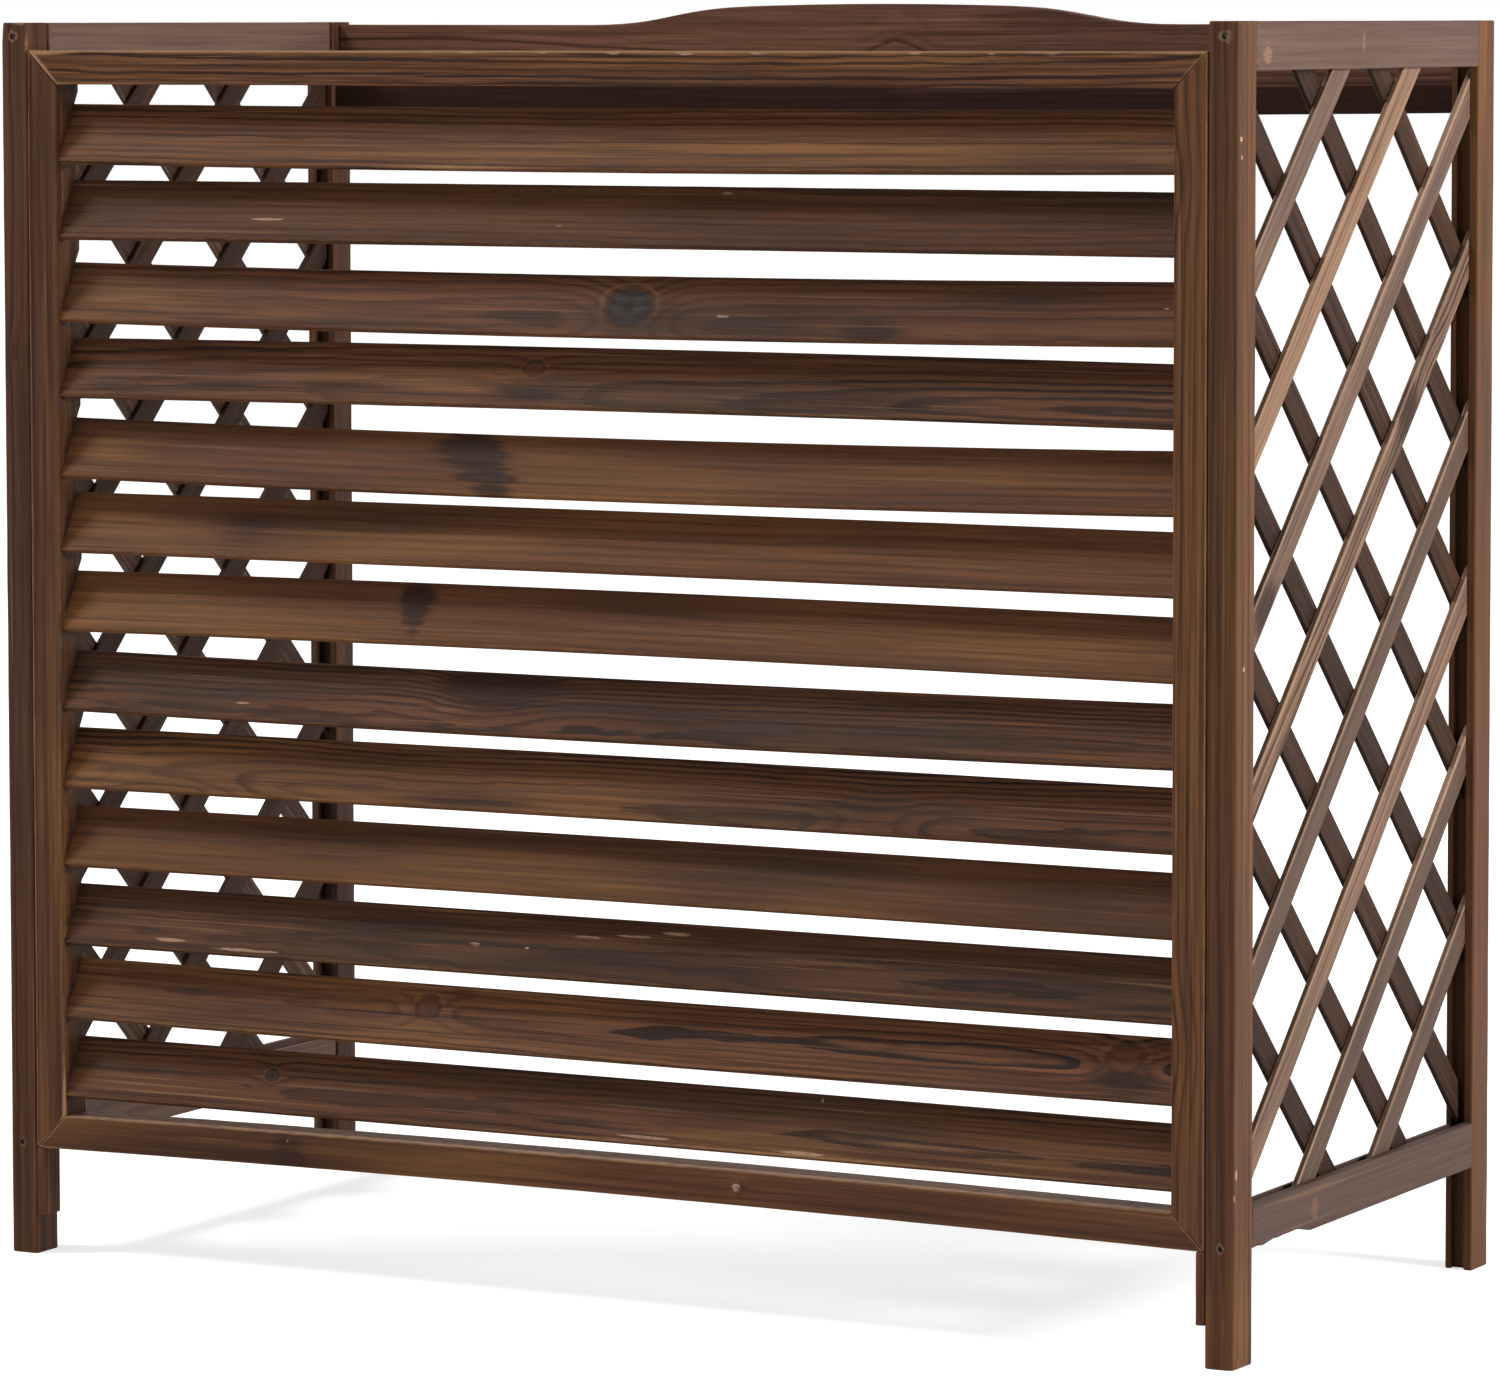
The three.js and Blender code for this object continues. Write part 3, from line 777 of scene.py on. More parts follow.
    def describe(self) -> None:
        """Stores on the mesh what the wood's material reads."""
        spots = self.points() @ self.axes.T - self.middle
        figure = self.figure
        end_gap = self.half[0] - np.abs(spots[:, 0])
        if self.mitre:
            end_gap = (end_gap - (self.half[1] - self.mitre * spots[:, 1])) / math.sqrt(2)
        ones = np.ones(len(spots))
        self.store("grain", spots)
        self.store("stock", np.stack([ones * self.half[1], ones * self.half[2], np.maximum(end_gap, 0)], 1))
        self.store("heart", np.outer(ones, [figure.pith_mm * MM, figure.depth_mm * MM, figure.slope]))
        self.store("figure", np.outer(ones, [figure.contrast, figure.ring_mm * MM, figure.bright]))
        self.store("cast", np.outer(ones, [figure.warm, self.seed, figure.sway_mm * MM]))
        paint = np.zeros_like(spots)
        for stain in figure.stains:
            u = (spots[:, 0] / MM - stain.along_mm) / stain.reach_along_mm
            v = (spots[:, 1] / MM - stain.across_mm) / stain.reach_across_mm
            # Stains kept to the back and sides are painted shade on faces that lie in the screen's shadow
            held = (spots[:, 2] < SHADE_BEHIND_SHARE * self.half[2]) if stain.shade_behind else 1.0
            paint[:, stain.kind.value] += held * stain.strength * np.exp(-(u**2 + v**2))
        self.store("paint", paint)
        self.place_marks(spots)

    def place_marks(self, spots: np.ndarray) -> None:
        """Tells each face corner how far it lies from the mark nearest to its face, and that mark's form.

        Args:
            spots: the vertices along, across and through the stick, from its middle.
        """
        none = Mark(FAR_AWAY_MM, FAR_AWAY_MM, 1.0, NAIL)
        place, kind = [], []
        for polygon in self.piece.data.polygons:
            on_side = abs(float(np.array(polygon.normal) @ self.axes[1])) > FACING
            axis = 2 if on_side else 1
            centre = spots[list(polygon.vertices)].mean(0) / MM
            marks = [m for m in self.figure.marks if m.on_side == on_side] or [none]
            steps = [(centre[0] - m.along_mm, centre[axis] - m.across_mm) for m in marks]
            gaps = [math.hypot(*step) / m.radius_mm for step, m in zip(steps, marks)]
            mark = marks[int(np.argmin(gaps))]
            for corner in polygon.vertices:
                u = (spots[corner][0] / MM - mark.along_mm) / (mark.radius_mm * mark.stretch)
                v = (spots[corner][axis] / MM - mark.across_mm) / mark.radius_mm
                place.append((u, v, mark.radius_mm * MM))
                kind.append(mark.kind.value)
        self.store("mark_place", np.array(place), "CORNER")
        self.store("mark_kind", np.array(kind), "CORNER")

    def smooth(self) -> None:
        """Smooths the rounded arrises and keeps the wide faces flat."""
        select_only(self.piece)
        bpy.ops.object.shade_smooth_by_angle(angle=math.radians(ROUND_DEG))
        level = self.piece.modifiers.new("even normals", "WEIGHTED_NORMAL")
        level.keep_sharp = True
        bpy.ops.object.modifier_apply(modifier=level.name)


def varied(name: str, base: Figure) -> Figure:
    """Gives a stick its own grain near a family's usual one.

    Args:
        name: the stick's name, which settles its grain.
        base: the family's usual grain, without marks, stains, chips or notches.

    Returns:
        The stick's grain.
    """
    draw = random.Random("grain of " + name)
    return replace(
        base,
        contrast=base.contrast * (1 + draw.uniform(-0.3, 0.3)),
        ring_mm=base.ring_mm * (1 + draw.uniform(-0.25, 0.35)),
        bright=base.bright * (1 + draw.uniform(-0.12, 0.12)),
        warm=base.warm + draw.uniform(-0.22, 0.22),
        pith_mm=base.pith_mm + draw.uniform(-14, 14),
        depth_mm=base.depth_mm * (1 + draw.uniform(-0.3, 0.5)),
        slope=base.slope * draw.choice((-1, 1)) * (1 + draw.uniform(-0.5, 0.5)),
    )


@dataclass
class Posts:
    """The four corner posts."""

    rear_left: Figure = Figure(
        contrast=0.6, ring_mm=3.6, bright=0.8, depth_mm=30.0, slope=0.012,
        # Painted shade: the inner and front faces are darkened as if in the screen's shadow
        stains=(Stain(0, 0, 2000, 60, 0.6, shade_behind=True),),
    )
    rear_right: Figure = Figure(
        contrast=0.25, ring_mm=3.6, bright=0.66, warm=0.25, depth_mm=30.0, slope=0.012,
    )
    front_left: Figure = Figure(
        contrast=0.6, ring_mm=8.0, bright=0.7, pith_mm=19.0, depth_mm=16.0, slope=0.012,
        marks=(Mark(440, 1, 4.6, BRUISE, 1.0), Mark(-368, 1, 3.6, BRUISE, 1.0), Mark(212, 2, 6.0, SWIRL)),
        stains=(
            Stain(-300, 0, 160, 20, 0.35), Stain(215, 0, 18, 20, 0.45), Stain(445, -8, 12, 8, 1.0, WORN_AND_SHEEN),
            Stain(0, -12, 900, 3, 0.35, WORN_AND_SHEEN),
        ),
        chips=(Chip(449, -11, 15, 7, 2.2), Chip(449, 11, 15, 4, 1.2)),
    )
    front_right: Figure = Figure(
        contrast=0.55, ring_mm=8.0, bright=0.65, warm=0.15, pith_mm=-22.0, depth_mm=14.0, slope=-0.01,
        marks=(
            Mark(440, -1, 4.6, BRUISE, 1.0), Mark(-368, -1, 3.6, BRUISE, 1.0),
            Mark(-318, 12, 1.8, RAW, 2.2, on_side=True), Mark(372, 10, 1.8, RAW, 1.2, on_side=True),
            Mark(20, 3, 1.3, RAW, 1.6, on_side=True), Mark(360, 9, 1.1, RAW, 1.4, on_side=True),
            Mark(-334, -11, 1.6, RAW, 2.0),
        ),
        stains=(
            Stain(-420, 0, 40, 20, 0.6, GOLD), Stain(60, -8, 300, 12, 0.35, GOLD),
            Stain(0, 12, 900, 3, 0.35, WORN_AND_SHEEN),
        ),
        chips=(Chip(-449, -11, 15, 8, 2.0),),
    )

    def build(self, wood: bpy.types.Material) -> None:
        """Builds the posts.

        Args:
            wood: the finish.
        """
        posts = (
            ("post_front_left", Face.FRONT, self.front_left),
            ("post_front_right", Face.FRONT, self.front_right),
            ("post_rear_left", Face.LEFT, self.rear_left),
            ("post_rear_right", Face.RIGHT, self.rear_right),
        )
        for name, face, figure in posts:
            Timber(name, "post_wood", wood, face, Run.UPRIGHT, figure).build()


@dataclass
class SideRails:
    """The rails between the posts at each side, above and below the lattice."""

    usual: Figure = Figure(contrast=0.3, ring_mm=4.6, bright=1.15, warm=0.25, depth_mm=34.0, slope=0.02)
    top_right: Figure = Figure(
        contrast=0.14, ring_mm=5.0, warm=-0.1,
        marks=(Mark(-177, -6, 6.5, RAW, 0.9), Mark(-14, 1, 8.0, RAW, 0.24)),
        stains=(Stain(-8, 4, 4, 14, 0.5), Stain(180, 0, 7, 10, 0.3), Stain(-180, -8, 14, 12, 0.35)),
    )
    bottom_right: Figure = Figure(
        contrast=0.2, ring_mm=5.0, bright=0.74, warm=-0.3, marks=(Mark(-90, 0, 8.0, BRUISE, 0.8),),
        stains=(Stain(-130, -17, 60, 4, 0.8), Stain(-60, 0, 90, 24, 0.28)),
        notches=(Notch(-200, -97, 5.5),),
    )

    def build(self, wood: bpy.types.Material) -> None:
        """Builds the side rails.

        Args:
            wood: the finish.
        """
        rails = (
            ("rail_top_left", Face.LEFT, varied("rail_top_left", self.usual)),
            ("rail_bottom_left", Face.LEFT, varied("rail_bottom_left", self.usual)),
            ("rail_top_right", Face.RIGHT, self.top_right),
            ("rail_bottom_right", Face.RIGHT, self.bottom_right),
        )
        for name, face, figure in rails:
            Timber(name, "side_rail_wood", wood, face, Run.BACKWARDS, figure, cut_mm=9.0, rips=5).build()


@dataclass
class LouvreFrame:
    """The mitred frame round the slats, and the two cleats that it stands on.

    splinters_mm: raw places on the top rail's upper edge, each by its middle and how far it reaches.
    """

    splinters_mm: tuple[tuple[float, float], ...] = (
        (-448, 6), (-97, 8), (-40, 8), (18, 6), (75, 7), (132, 7), (251, 7), (309, 4), (347, 20), (443, 23),
    )
    top: Figure = Figure(
        contrast=1.5, ring_mm=5.0, warm=0.12, pith_mm=17.0, depth_mm=12.0, slope=-0.012,
        sway_mm=16.0,
        stains=(
            Stain(0, 13, 900, 3, 1.1, WORN_AND_SHEEN), Stain(-456, 2, 20, 30, 1.3, WORN_AND_SHEEN),
            Stain(456, 2, 16, 30, 0.4, WORN_AND_SHEEN), Stain(-380, -9, 70, 5, 0.6, GOLD),
            Stain(150, 6, 300, 6, 0.35, GOLD),
        ),
        marks=tuple(Mark(middle, 12.6, 2.8, RAW, reach / 2.8) for middle, reach in splinters_mm),
    )
    bottom: Figure = Figure(
        contrast=0.45, ring_mm=6.5, bright=0.9, warm=-0.02, pith_mm=22.0, depth_mm=20.0, slope=0.008,
        crook_mm=3.5,
        marks=(
            Mark(113, 1, 3.6, RAW, 0.8), Mark(-252, 6, 1.2, RAW, 1.0),
            # Painted light: this wide pale mark lightens the rail's top and bottom faces as if lit from
            # above
            Mark(0, 0, 40, RAW, 14, on_side=True),
        ),
        stains=(
            Stain(0, 13, 900, 3, 0.5, WORN_AND_SHEEN), Stain(-252, 0, 9, 14, 0.5), Stain(116, 0, 12, 9, 0.75),
            Stain(113, 2, 7, 6, 1.2, GOLD), Stain(-300, -4, 220, 26, 0.62),
            Stain(-456, -2, 16, 30, 0.4, WORN_AND_SHEEN), Stain(456, -2, 16, 30, 0.3, WORN_AND_SHEEN),
        ),
    )
    left: Figure = Figure(
        contrast=0.65, ring_mm=8.0, bright=0.7, pith_mm=-20.0, depth_mm=16.0, slope=0.008,
        stains=(
            Stain(190, -3, 190, 7, 0.7, GOLD), Stain(-220, 0, 150, 20, 0.2), Stain(60, 4, 60, 8, 0.45),
            Stain(330, 6, 50, 6, 0.5), Stain(-120, -4, 120, 7, 0.6, GOLD),
            Stain(-368, -12, 30, 3, 1.0, WORN_AND_SHEEN), Stain(436, 0, 14, 30, 1.0, WORN_AND_SHEEN),
            # The last stain here is painted shade on the stile's inner side, which lies in shadow
            Stain(0, 12, 900, 3, 0.5, WORN_AND_SHEEN), Stain(0, -13, 2000, 12, 0.85, shade_behind=True),
        ),
    )
    right: Figure = Figure(
        contrast=0.75, ring_mm=8.0, bright=0.9, warm=0.3, pith_mm=-24.0, depth_mm=12.0, slope=0.01,
        sway_mm=14.0, marks=(Mark(-266, 14, 13.0, SWIRL, 1.4), Mark(314, 8, 7.0, SWIRL, 1.8)),
        stains=(
            Stain(0, 0, 420, 20, 0.3, GOLD), Stain(0, -12, 900, 3, 0.5, WORN_AND_SHEEN), Stain(-265, 10, 26, 4, 0.6),
            Stain(318, 8, 14, 4, 0.7),
        ),
    )
    cleat: Figure = Figure(contrast=0.5, ring_mm=3.6, bright=0.9)

    def build(self, wood: bpy.types.Material) -> None:
        """Builds the frame and its cleats.

        Args:
            wood: the finish.
        """
        members = (
            ("louvre_rail_top", Run.SIDEWAYS, 1, self.top, 5.0),
            ("louvre_rail_bottom", Run.SIDEWAYS, -1, self.bottom, 10.0),
            ("louvre_stile_left", Run.UPRIGHT, 1, self.left, 10.0),
            ("louvre_stile_right", Run.UPRIGHT, -1, self.right, 10.0),
        )
        for name, run, mitre, figure, cut in members:
            Timber(name, "frame_wood", wood, Face.FRONT, run, figure, mitre=mitre, cut_mm=cut).build()
        for side in ("left", "right"):
            name = f"cleat_{side}"
            Timber(name, "cleat_wood", wood, Face.FRONT, Run.UPRIGHT, self.cleat, rips=1).build()


@dataclass
class Slats:
    """The thirteen tilted slats, each with the grain that it has in the real screen.

    figures: the grain of each slat, from the top one down. The numbers are its contrast, ring_mm, bright,
    warm, pith_mm, depth_mm and slope.
    """

    figures: tuple[Figure, ...] = (
        Figure(
            0.75, 4.6, 1.03, 0.05, 40, 14, 0.006, crook_mm=-1.3, belly_mm=-1.6,
            stains=(
                Stain(130, -8, 330, 8, 1.0, GOLD), Stain(-270, -10, 45, 9, 0.3), Stain(40, 9, 80, 4, 0.45),
                Stain(330, 0, 110, 30, 0.45), Stain(-110, -22, 60, 5, 0.8, WORN_AND_SHEEN),
            ),
        ),
        Figure(
            0.5, 5.0, 0.7, -0.05, 30, 20, 0.004, crook_mm=0.3,
            marks=(Mark(-272, -7, 0.9, RAW, 16), Mark(-30, -9, 0.7, RAW, 4), Mark(96, 18, 0.8, RAW, 5)),
            stains=(Stain(200, 10, 300, 12, 0.2),),
        ),
        Figure(
            0.75, 5.0, 1.08, 0.05, -12, 20, 0.02, crook_mm=-3.1,
            marks=(Mark(24, -1, 14, DARK_KNOT, 1.1), Mark(98, -7, 0.8, RAW, 14), Mark(432, 3, 0.8, RAW, 3)),
            stains=(
                Stain(-400, -4, 75, 16, 1.0, GOLD), Stain(26, 0, 42, 26, 0.45), Stain(218, -18, 22, 6, 0.7),
                Stain(330, 4, 130, 30, 0.55), Stain(130, 0, 90, 30, 0.52), Stain(-210, -14, 42, 7, 0.35),
            ),
        ),
        Figure(
            1.15, 5.4, 0.95, -0.05, -13, 21, 0.036, sway_mm=7, crook_mm=1.8,
            marks=(Mark(-55, 6, 6, BROWN_KNOT, 1.2), Mark(-55, -14, 7, SWIRL, 3.2)),
            stains=(
                Stain(-55, -14, 36, 6, 0.8), Stain(190, -14, 60, 5, 0.6), Stain(-200, -14, 55, 4, 0.9),
                Stain(-310, -14, 45, 4, 0.9), Stain(-250, 6, 120, 20, 0.4), Stain(240, 0, 90, 30, 0.42),
            ),
        ),
        Figure(
            0.4, 6.0, 0.92, 0.0, 26, 18, 0.004, crook_mm=-3.8,
            marks=(Mark(-110, 13, 2.6, NAIL, 1.8), Mark(-80, -8, 2.0, NAIL, 1.6)),
            stains=(
                Stain(-415, -2, 40, 16, 0.9, GOLD), Stain(-108, 14, 19, 12, 1.0),
                Stain(-97, 0, 15, 12, 0.9), Stain(-80, -14, 14, 10, 1.1), Stain(-120, 0, 95, 30, 0.52),
                Stain(270, 2, 220, 9, 0.45, GOLD),
            ),
        ),
        Figure(
            0.4, 5.2, 1.1, 0.0, -30, 20, 0.004, crook_mm=0.6,
            stains=(
                Stain(-240, 0, 170, 30, 0.5), Stain(-290, 0, 24, 20, 0.2),
                Stain(200, -4, 160, 7, 0.45, GOLD),
            ),
        ),
        Figure(
            0.35, 5.6, 1.03, 0.05, 24, 22, 0.006, crook_mm=2.1, marks=(Mark(-153, -2, 1.4, NAIL, 1.2),),
            stains=(
                Stain(-153, 12, 14, 14, 1.1), Stain(-151, -8, 9, 14, 0.9),
                Stain(330, -4, 190, 16, 0.7, GOLD), Stain(20, 6, 120, 20, 0.45),
            ),
        ),
        Figure(
            1.0, 3.5, 0.92, -0.2, -20, 20, 0.01, crook_mm=-2.1,
            marks=(Mark(-92, 27, 17, SWIRL, 1.2), Mark(-292, -11, 0.8, RAW, 7)),
            stains=(Stain(-88, 12, 46, 16, 1.05), Stain(20, 0, 130, 26, 0.55), Stain(250, 0, 160, 26, 0.3)),
        ),
        Figure(
            1.05, 3.9, 0.88, -0.02, -16, 18, 0.012, sway_mm=26, crook_mm=1.0,
            marks=(Mark(214, -24, 12, SWIRL, 1.6), Mark(-352, -34, 16, SWIRL, 2.4)),
            stains=(
                Stain(-420, -17, 30, 7, 1.2, GOLD), Stain(-100, -18, 60, 7, 0.5),
                Stain(-190, 2, 230, 26, 0.5),
            ),
        ),
        Figure(
            0.3, 5.0, 0.81, 0.0, 30, 20, 0.003, crook_mm=0.9,
            stains=(
                Stain(60, -2, 190, 14, 0.5, GOLD), Stain(330, 0, 90, 22, 0.4),
                Stain(-230, 2, 110, 30, 0.58),
            ),
        ),
        Figure(
            0.9, 3.3, 0.71, -0.3, -10, 22, 0.006, crook_mm=0.3,
            marks=(
                Mark(-352, -16, 1.4, RAW, 9), Mark(-292, -20, 1.0, RAW, 34), Mark(-102, -3, 1.3, RAW, 3),
                Mark(-60, -3, 1.0, RAW, 2), Mark(-14, 8, 1.2, RAW, 10), Mark(24, 11, 1.0, RAW, 14),
                Mark(56, 15, 1.1, RAW, 10),
            ),
            stains=(
                Stain(0, 5, 40, 5, 1.2, GOLD), Stain(52, 14, 28, 5, 1.2, GOLD),
                Stain(-370, -6, 60, 12, 0.4, GOLD), Stain(200, 0, 260, 30, 0.32),
                Stain(20, -10, 130, 14, 0.5),
            ),
        ),
        Figure(
            1.2, 4.0, 1.15, -0.02, 2, 16, 0.012, sway_mm=16, crook_mm=-0.9,
            marks=(Mark(-143, 5, 8.5, BROWN_KNOT, 1.1), Mark(402, 5, 11, BROWN_KNOT, 1.2)),
            stains=(
                Stain(405, -10, 34, 12, 0.85), Stain(-118, 18, 14, 5, 0.5), Stain(420, 14, 14, 8, 0.5),
                Stain(-350, 4, 230, 30, 0.6), Stain(80, 4, 80, 26, 0.42),
            ),
        ),
        Figure(
            0.95, 3.8, 0.8, 0.05, -8, 18, 0.014, crook_mm=0.7,
            marks=(
                Mark(-274, 4, 4.5, DARK_KNOT, 1.2), Mark(169, 18, 2.4, RAW, 0.5),
                Mark(34, -19, 1.0, RAW, 26), Mark(163, -21, 1.5, RAW, 15),
            ),
            stains=(
                Stain(-370, 0, 60, 16, 0.25), Stain(100, -15, 40, 4, 1.1, GOLD),
                Stain(165, -20, 35, 4, 1.3, GOLD), Stain(350, -14, 110, 6, 0.9, GOLD),
                Stain(280, -20, 40, 4, 0.6), Stain(150, -22, 300, 4, 0.6, WORN_AND_SHEEN),
            ),
        ),
    )

    def build(self, wood: bpy.types.Material) -> None:
        """Builds the slats.

        Args:
            wood: the finish.
        """
        for index, figure in enumerate(self.figures):
            name = f"slat_{index + 1:02d}"
            Timber(name, "slat_wood", wood, Face.FRONT, Run.SIDEWAYS, figure, cut_mm=9.0, rips=7).build()


@dataclass
class BackBoard:
    """The wavy board across the back at the top, with painted shade darkening the band along its foot."""

    figure: Figure = Figure(
        contrast=0.75, ring_mm=4.6, bright=0.97, pith_mm=30.0, depth_mm=30.0, slope=0.012,
        sway_mm=30.0, belly_mm=-3.5, marks=(Mark(19, 13, 9.0, SWIRL, 1.2),),
        # Painted shade: the foot band is darkened as if in the shadow of the louvre's top rail
        stains=(Stain(0, -32, 2000, 13, 1.6),),
    )

    def build(self, wood: bpy.types.Material) -> None:
        """Builds the board."""
        Timber("back_board", "back_board_wood", wood, Face.FRONT, Run.SIDEWAYS, self.figure, rips=9).build()


@dataclass
class Lattice:
    """The two crossed layers of thin strips at each side.

    lit_strips: how many inner strips at the left, from the foot up, are drawn brighter as painted bounce
    light.
    """

    strips: int = 8
    lit_strips: int = 3
    outer: Figure = Figure(contrast=0.6, pith_mm=14.0, depth_mm=14.0, slope=0.01)
    inner: Figure = Figure(contrast=0.5, warm=-0.05, pith_mm=14.0, depth_mm=14.0, slope=0.01)

    def right_outer(self) -> tuple[Figure, ...]:
        """Gives the grain of the strips that show most, the outer ones at the right.

        Returns:
            The grain of each, from the foot up.
        """
        # Painted highlight: each outer strip's arris toward the front is paled as if it catches the light
        edge = Stain(0, 11, 900, 6, 0.6, WORN_AND_SHEEN)
        return (
            replace(self.outer, contrast=0.3, bright=0.66, warm=-0.5, stains=(edge,)),
            replace(
                self.outer, contrast=0.3, bright=0.68, warm=-0.55,
                stains=(edge, Stain(150, 8, 90, 8, 1.0, WORN_AND_SHEEN)),
            ),
            replace(
                self.outer, bright=1.05, warm=-0.15,
                stains=(
                    edge, Stain(-270, 0, 40, 20, 0.8, GOLD), Stain(200, 0, 80, 12, 0.4, GOLD),
                    Stain(-180, 0, 60, 16, 0.4),
                ),
            ),
            replace(self.outer, contrast=0.25, bright=0.66, warm=-0.6, stains=(edge,)),
            replace(
                self.outer, contrast=1.5, ring_mm=4.6, bright=0.95, warm=0.1,
                marks=(Mark(160, -8, 11, SWIRL, 1.6),),
                stains=(edge, Stain(118, 0, 26, 16, 1.1), Stain(60, -6, 40, 8, 0.6)),
            ),
            replace(
                self.outer, bright=1.02, warm=-0.45, marks=(Mark(-282, -4, 6, BROWN_KNOT, 1.2),),
                stains=(
                    edge, Stain(240, 9, 140, 9, 0.7, WORN_AND_SHEEN), Stain(-225, 0, 26, 16, 1.0),
                    Stain(-100, 0, 120, 14, 0.5, GOLD),
                ),
            ),
            replace(self.outer, contrast=0.5, bright=1.3, warm=0.35, stains=(edge,)),
            replace(self.outer, contrast=0.6, bright=1.08, warm=-0.02, stains=(edge,)),
        )

    def build(self, outer_wood: bpy.types.Material, inner_wood: bpy.types.Material) -> None:
        """Builds the strips.

        Args:
            outer_wood: the finish of the outer layer.
            inner_wood: the finish of the inner layer.
        """
        shown = self.right_outer()
        for side, face in (("left", Face.LEFT), ("right", Face.RIGHT)):
            for number in range(1, self.strips + 1):
                outer = f"lattice_{side}_outer_{number}"
                inner = f"lattice_{side}_inner_{number}"
                figure = varied(inner, self.inner)
                if face is Face.RIGHT:
                    self.strip(outer, "outer_strip_wood", outer_wood, face, shown[number - 1])
                else:
                    # Painted shade: the outer strips at the left are darkened on their inner faces and
                    # sides, which lie in the screen's shadow
                    scorched = (Stain(0, 0, 2000, 60, 0.75, shade_behind=True),)
                    dark = replace(varied(outer, self.outer), stains=scorched)
                    self.strip(outer, "outer_strip_wood", outer_wood, face, dark)
                    # Painted light: the lowest inner strips at the left are brightened as if bounce light
                    # reached them
                    figure = replace(figure, bright=1.5 if number <= self.lit_strips else 1.0)
                self.strip(inner, "inner_strip_wood", inner_wood, face, figure)

    def strip(self, name: str, slot: str, wood: bpy.types.Material, face: Face, figure: Figure) -> None:
        """Builds one strip."""
        Timber(name, slot, wood, face, Run.SLANTED, figure, cut_mm=18.0, rips=1, wobble_mm=0.25).build()


@dataclass
class Screws:
    """The countersunk cross-recess screws, sunk in the front posts.

    recess_mm, recess_span_mm: how wide the cross's arms are, and how far they reach from end to end.
    recess_depth_mm, recess_turn: how deep it is, and its turn in degrees.
    rim_mm, dish_mm: the head's rim, and how far its middle stands before the rim.
    places_mm, front_mm: where the screws sit, sideways and up, and the posts' front.
    """

    head_radius_mm: float = 2.15
    sunk_mm: float = 1.6
    length_mm: float = 6.0
    recess_mm: float = 0.55
    recess_depth_mm: float = 1.1
    recess_span_mm: float = 2.6
    recess_turn: float = 20.0
    rim_mm: float = 0.5
    dish_mm: float = 0.25
    sides: int = 24
    round_deg: float = 30.0
    places_mm: tuple[tuple[float, float], ...] = (
        (-480.0, 890.0),
        (480.0, 890.0),
        (-480.0, 82.0),
        (480.0, 82.0),
    )
    front_mm: float = -225.0

    def master(self) -> bpy.types.Object:
        """Models one screw, its head at the origin and looking to the front.

        Returns:
            The screw, to be copied.
        """
        bpy.ops.object.select_all(action="DESELECT")
        bpy.ops.mesh.primitive_cylinder_add(
            vertices=self.sides,
            radius=self.head_radius_mm * MM,
            depth=self.length_mm * MM,
            location=(0, self.length_mm * MM / 2, 0),
            rotation=(math.radians(90), 0, 0),
        )
        screw = bpy.context.active_object
        bpy.ops.object.transform_apply(location=True, rotation=True, scale=True)
        bpy.ops.object.mode_set(mode="EDIT")
        bpy.ops.mesh.select_all(action="DESELECT")
        bpy.ops.object.mode_set(mode="OBJECT")
        for polygon in screw.data.polygons:
            polygon.select = polygon.normal.y < -FACING
        bpy.ops.object.mode_set(mode="EDIT")
        bpy.ops.mesh.inset(thickness=self.rim_mm * MM)
        bpy.ops.transform.translate(value=(0, -self.dish_mm * MM, 0))
        bpy.ops.mesh.select_all(action="DESELECT")
        bpy.ops.object.mode_set(mode="OBJECT")
        for turn in (0, 90):
            bpy.ops.object.select_all(action="DESELECT")
            bpy.ops.mesh.primitive_cube_add(size=MM, location=(0, 0, 0))
            blade = bpy.context.active_object
            blade.scale = (self.recess_mm, 2 * self.recess_depth_mm, self.recess_span_mm)
            blade.rotation_euler = (0, math.radians(turn + self.recess_turn), 0)
            bpy.ops.object.transform_apply(location=True, rotation=True, scale=True)
            select_only(screw)
            cut = screw.modifiers.new("recess", "BOOLEAN")
            cut.object = blade
            cut.operation = "DIFFERENCE"
            cut.solver = "EXACT"
            bpy.ops.object.modifier_apply(modifier=cut.name)
            bpy.data.objects.remove(blade)
        return screw

    def build(self, steel: bpy.types.Material) -> None:
        """Builds the screws.

        Args:
            steel: the finish.
        """
        master = self.master()
        master.data.materials.append(steel)
        for index, (x, z) in enumerate(self.places_mm):
            screw = bpy.data.objects.new(f"screw_{index + 1}", master.data.copy())
            bpy.context.scene.collection.objects.link(screw)
            screw.data.transform(Matrix.Translation(Vector((x, self.front_mm + self.sunk_mm, z)) * MM))
            select_only(screw)
            bpy.ops.object.shade_smooth_by_angle(angle=math.radians(self.round_deg))
            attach(screw, BODY)
            LOG.info("%s: %d faces", screw.name, len(screw.data.polygons))
        bpy.data.objects.remove(master)


@dataclass(frozen=True)
class Lamp:
    """A soft box that lights the screen.

    azimuth, elevation: where it stands, in degrees round the screen from the front and above the ground.
    distance, size: how far off it is and how wide, in metres.
    level: how bright a white card that faces it is.
    """

    name: str
    azimuth: float
    elevation: float
    distance: float
    size: float
    level: float


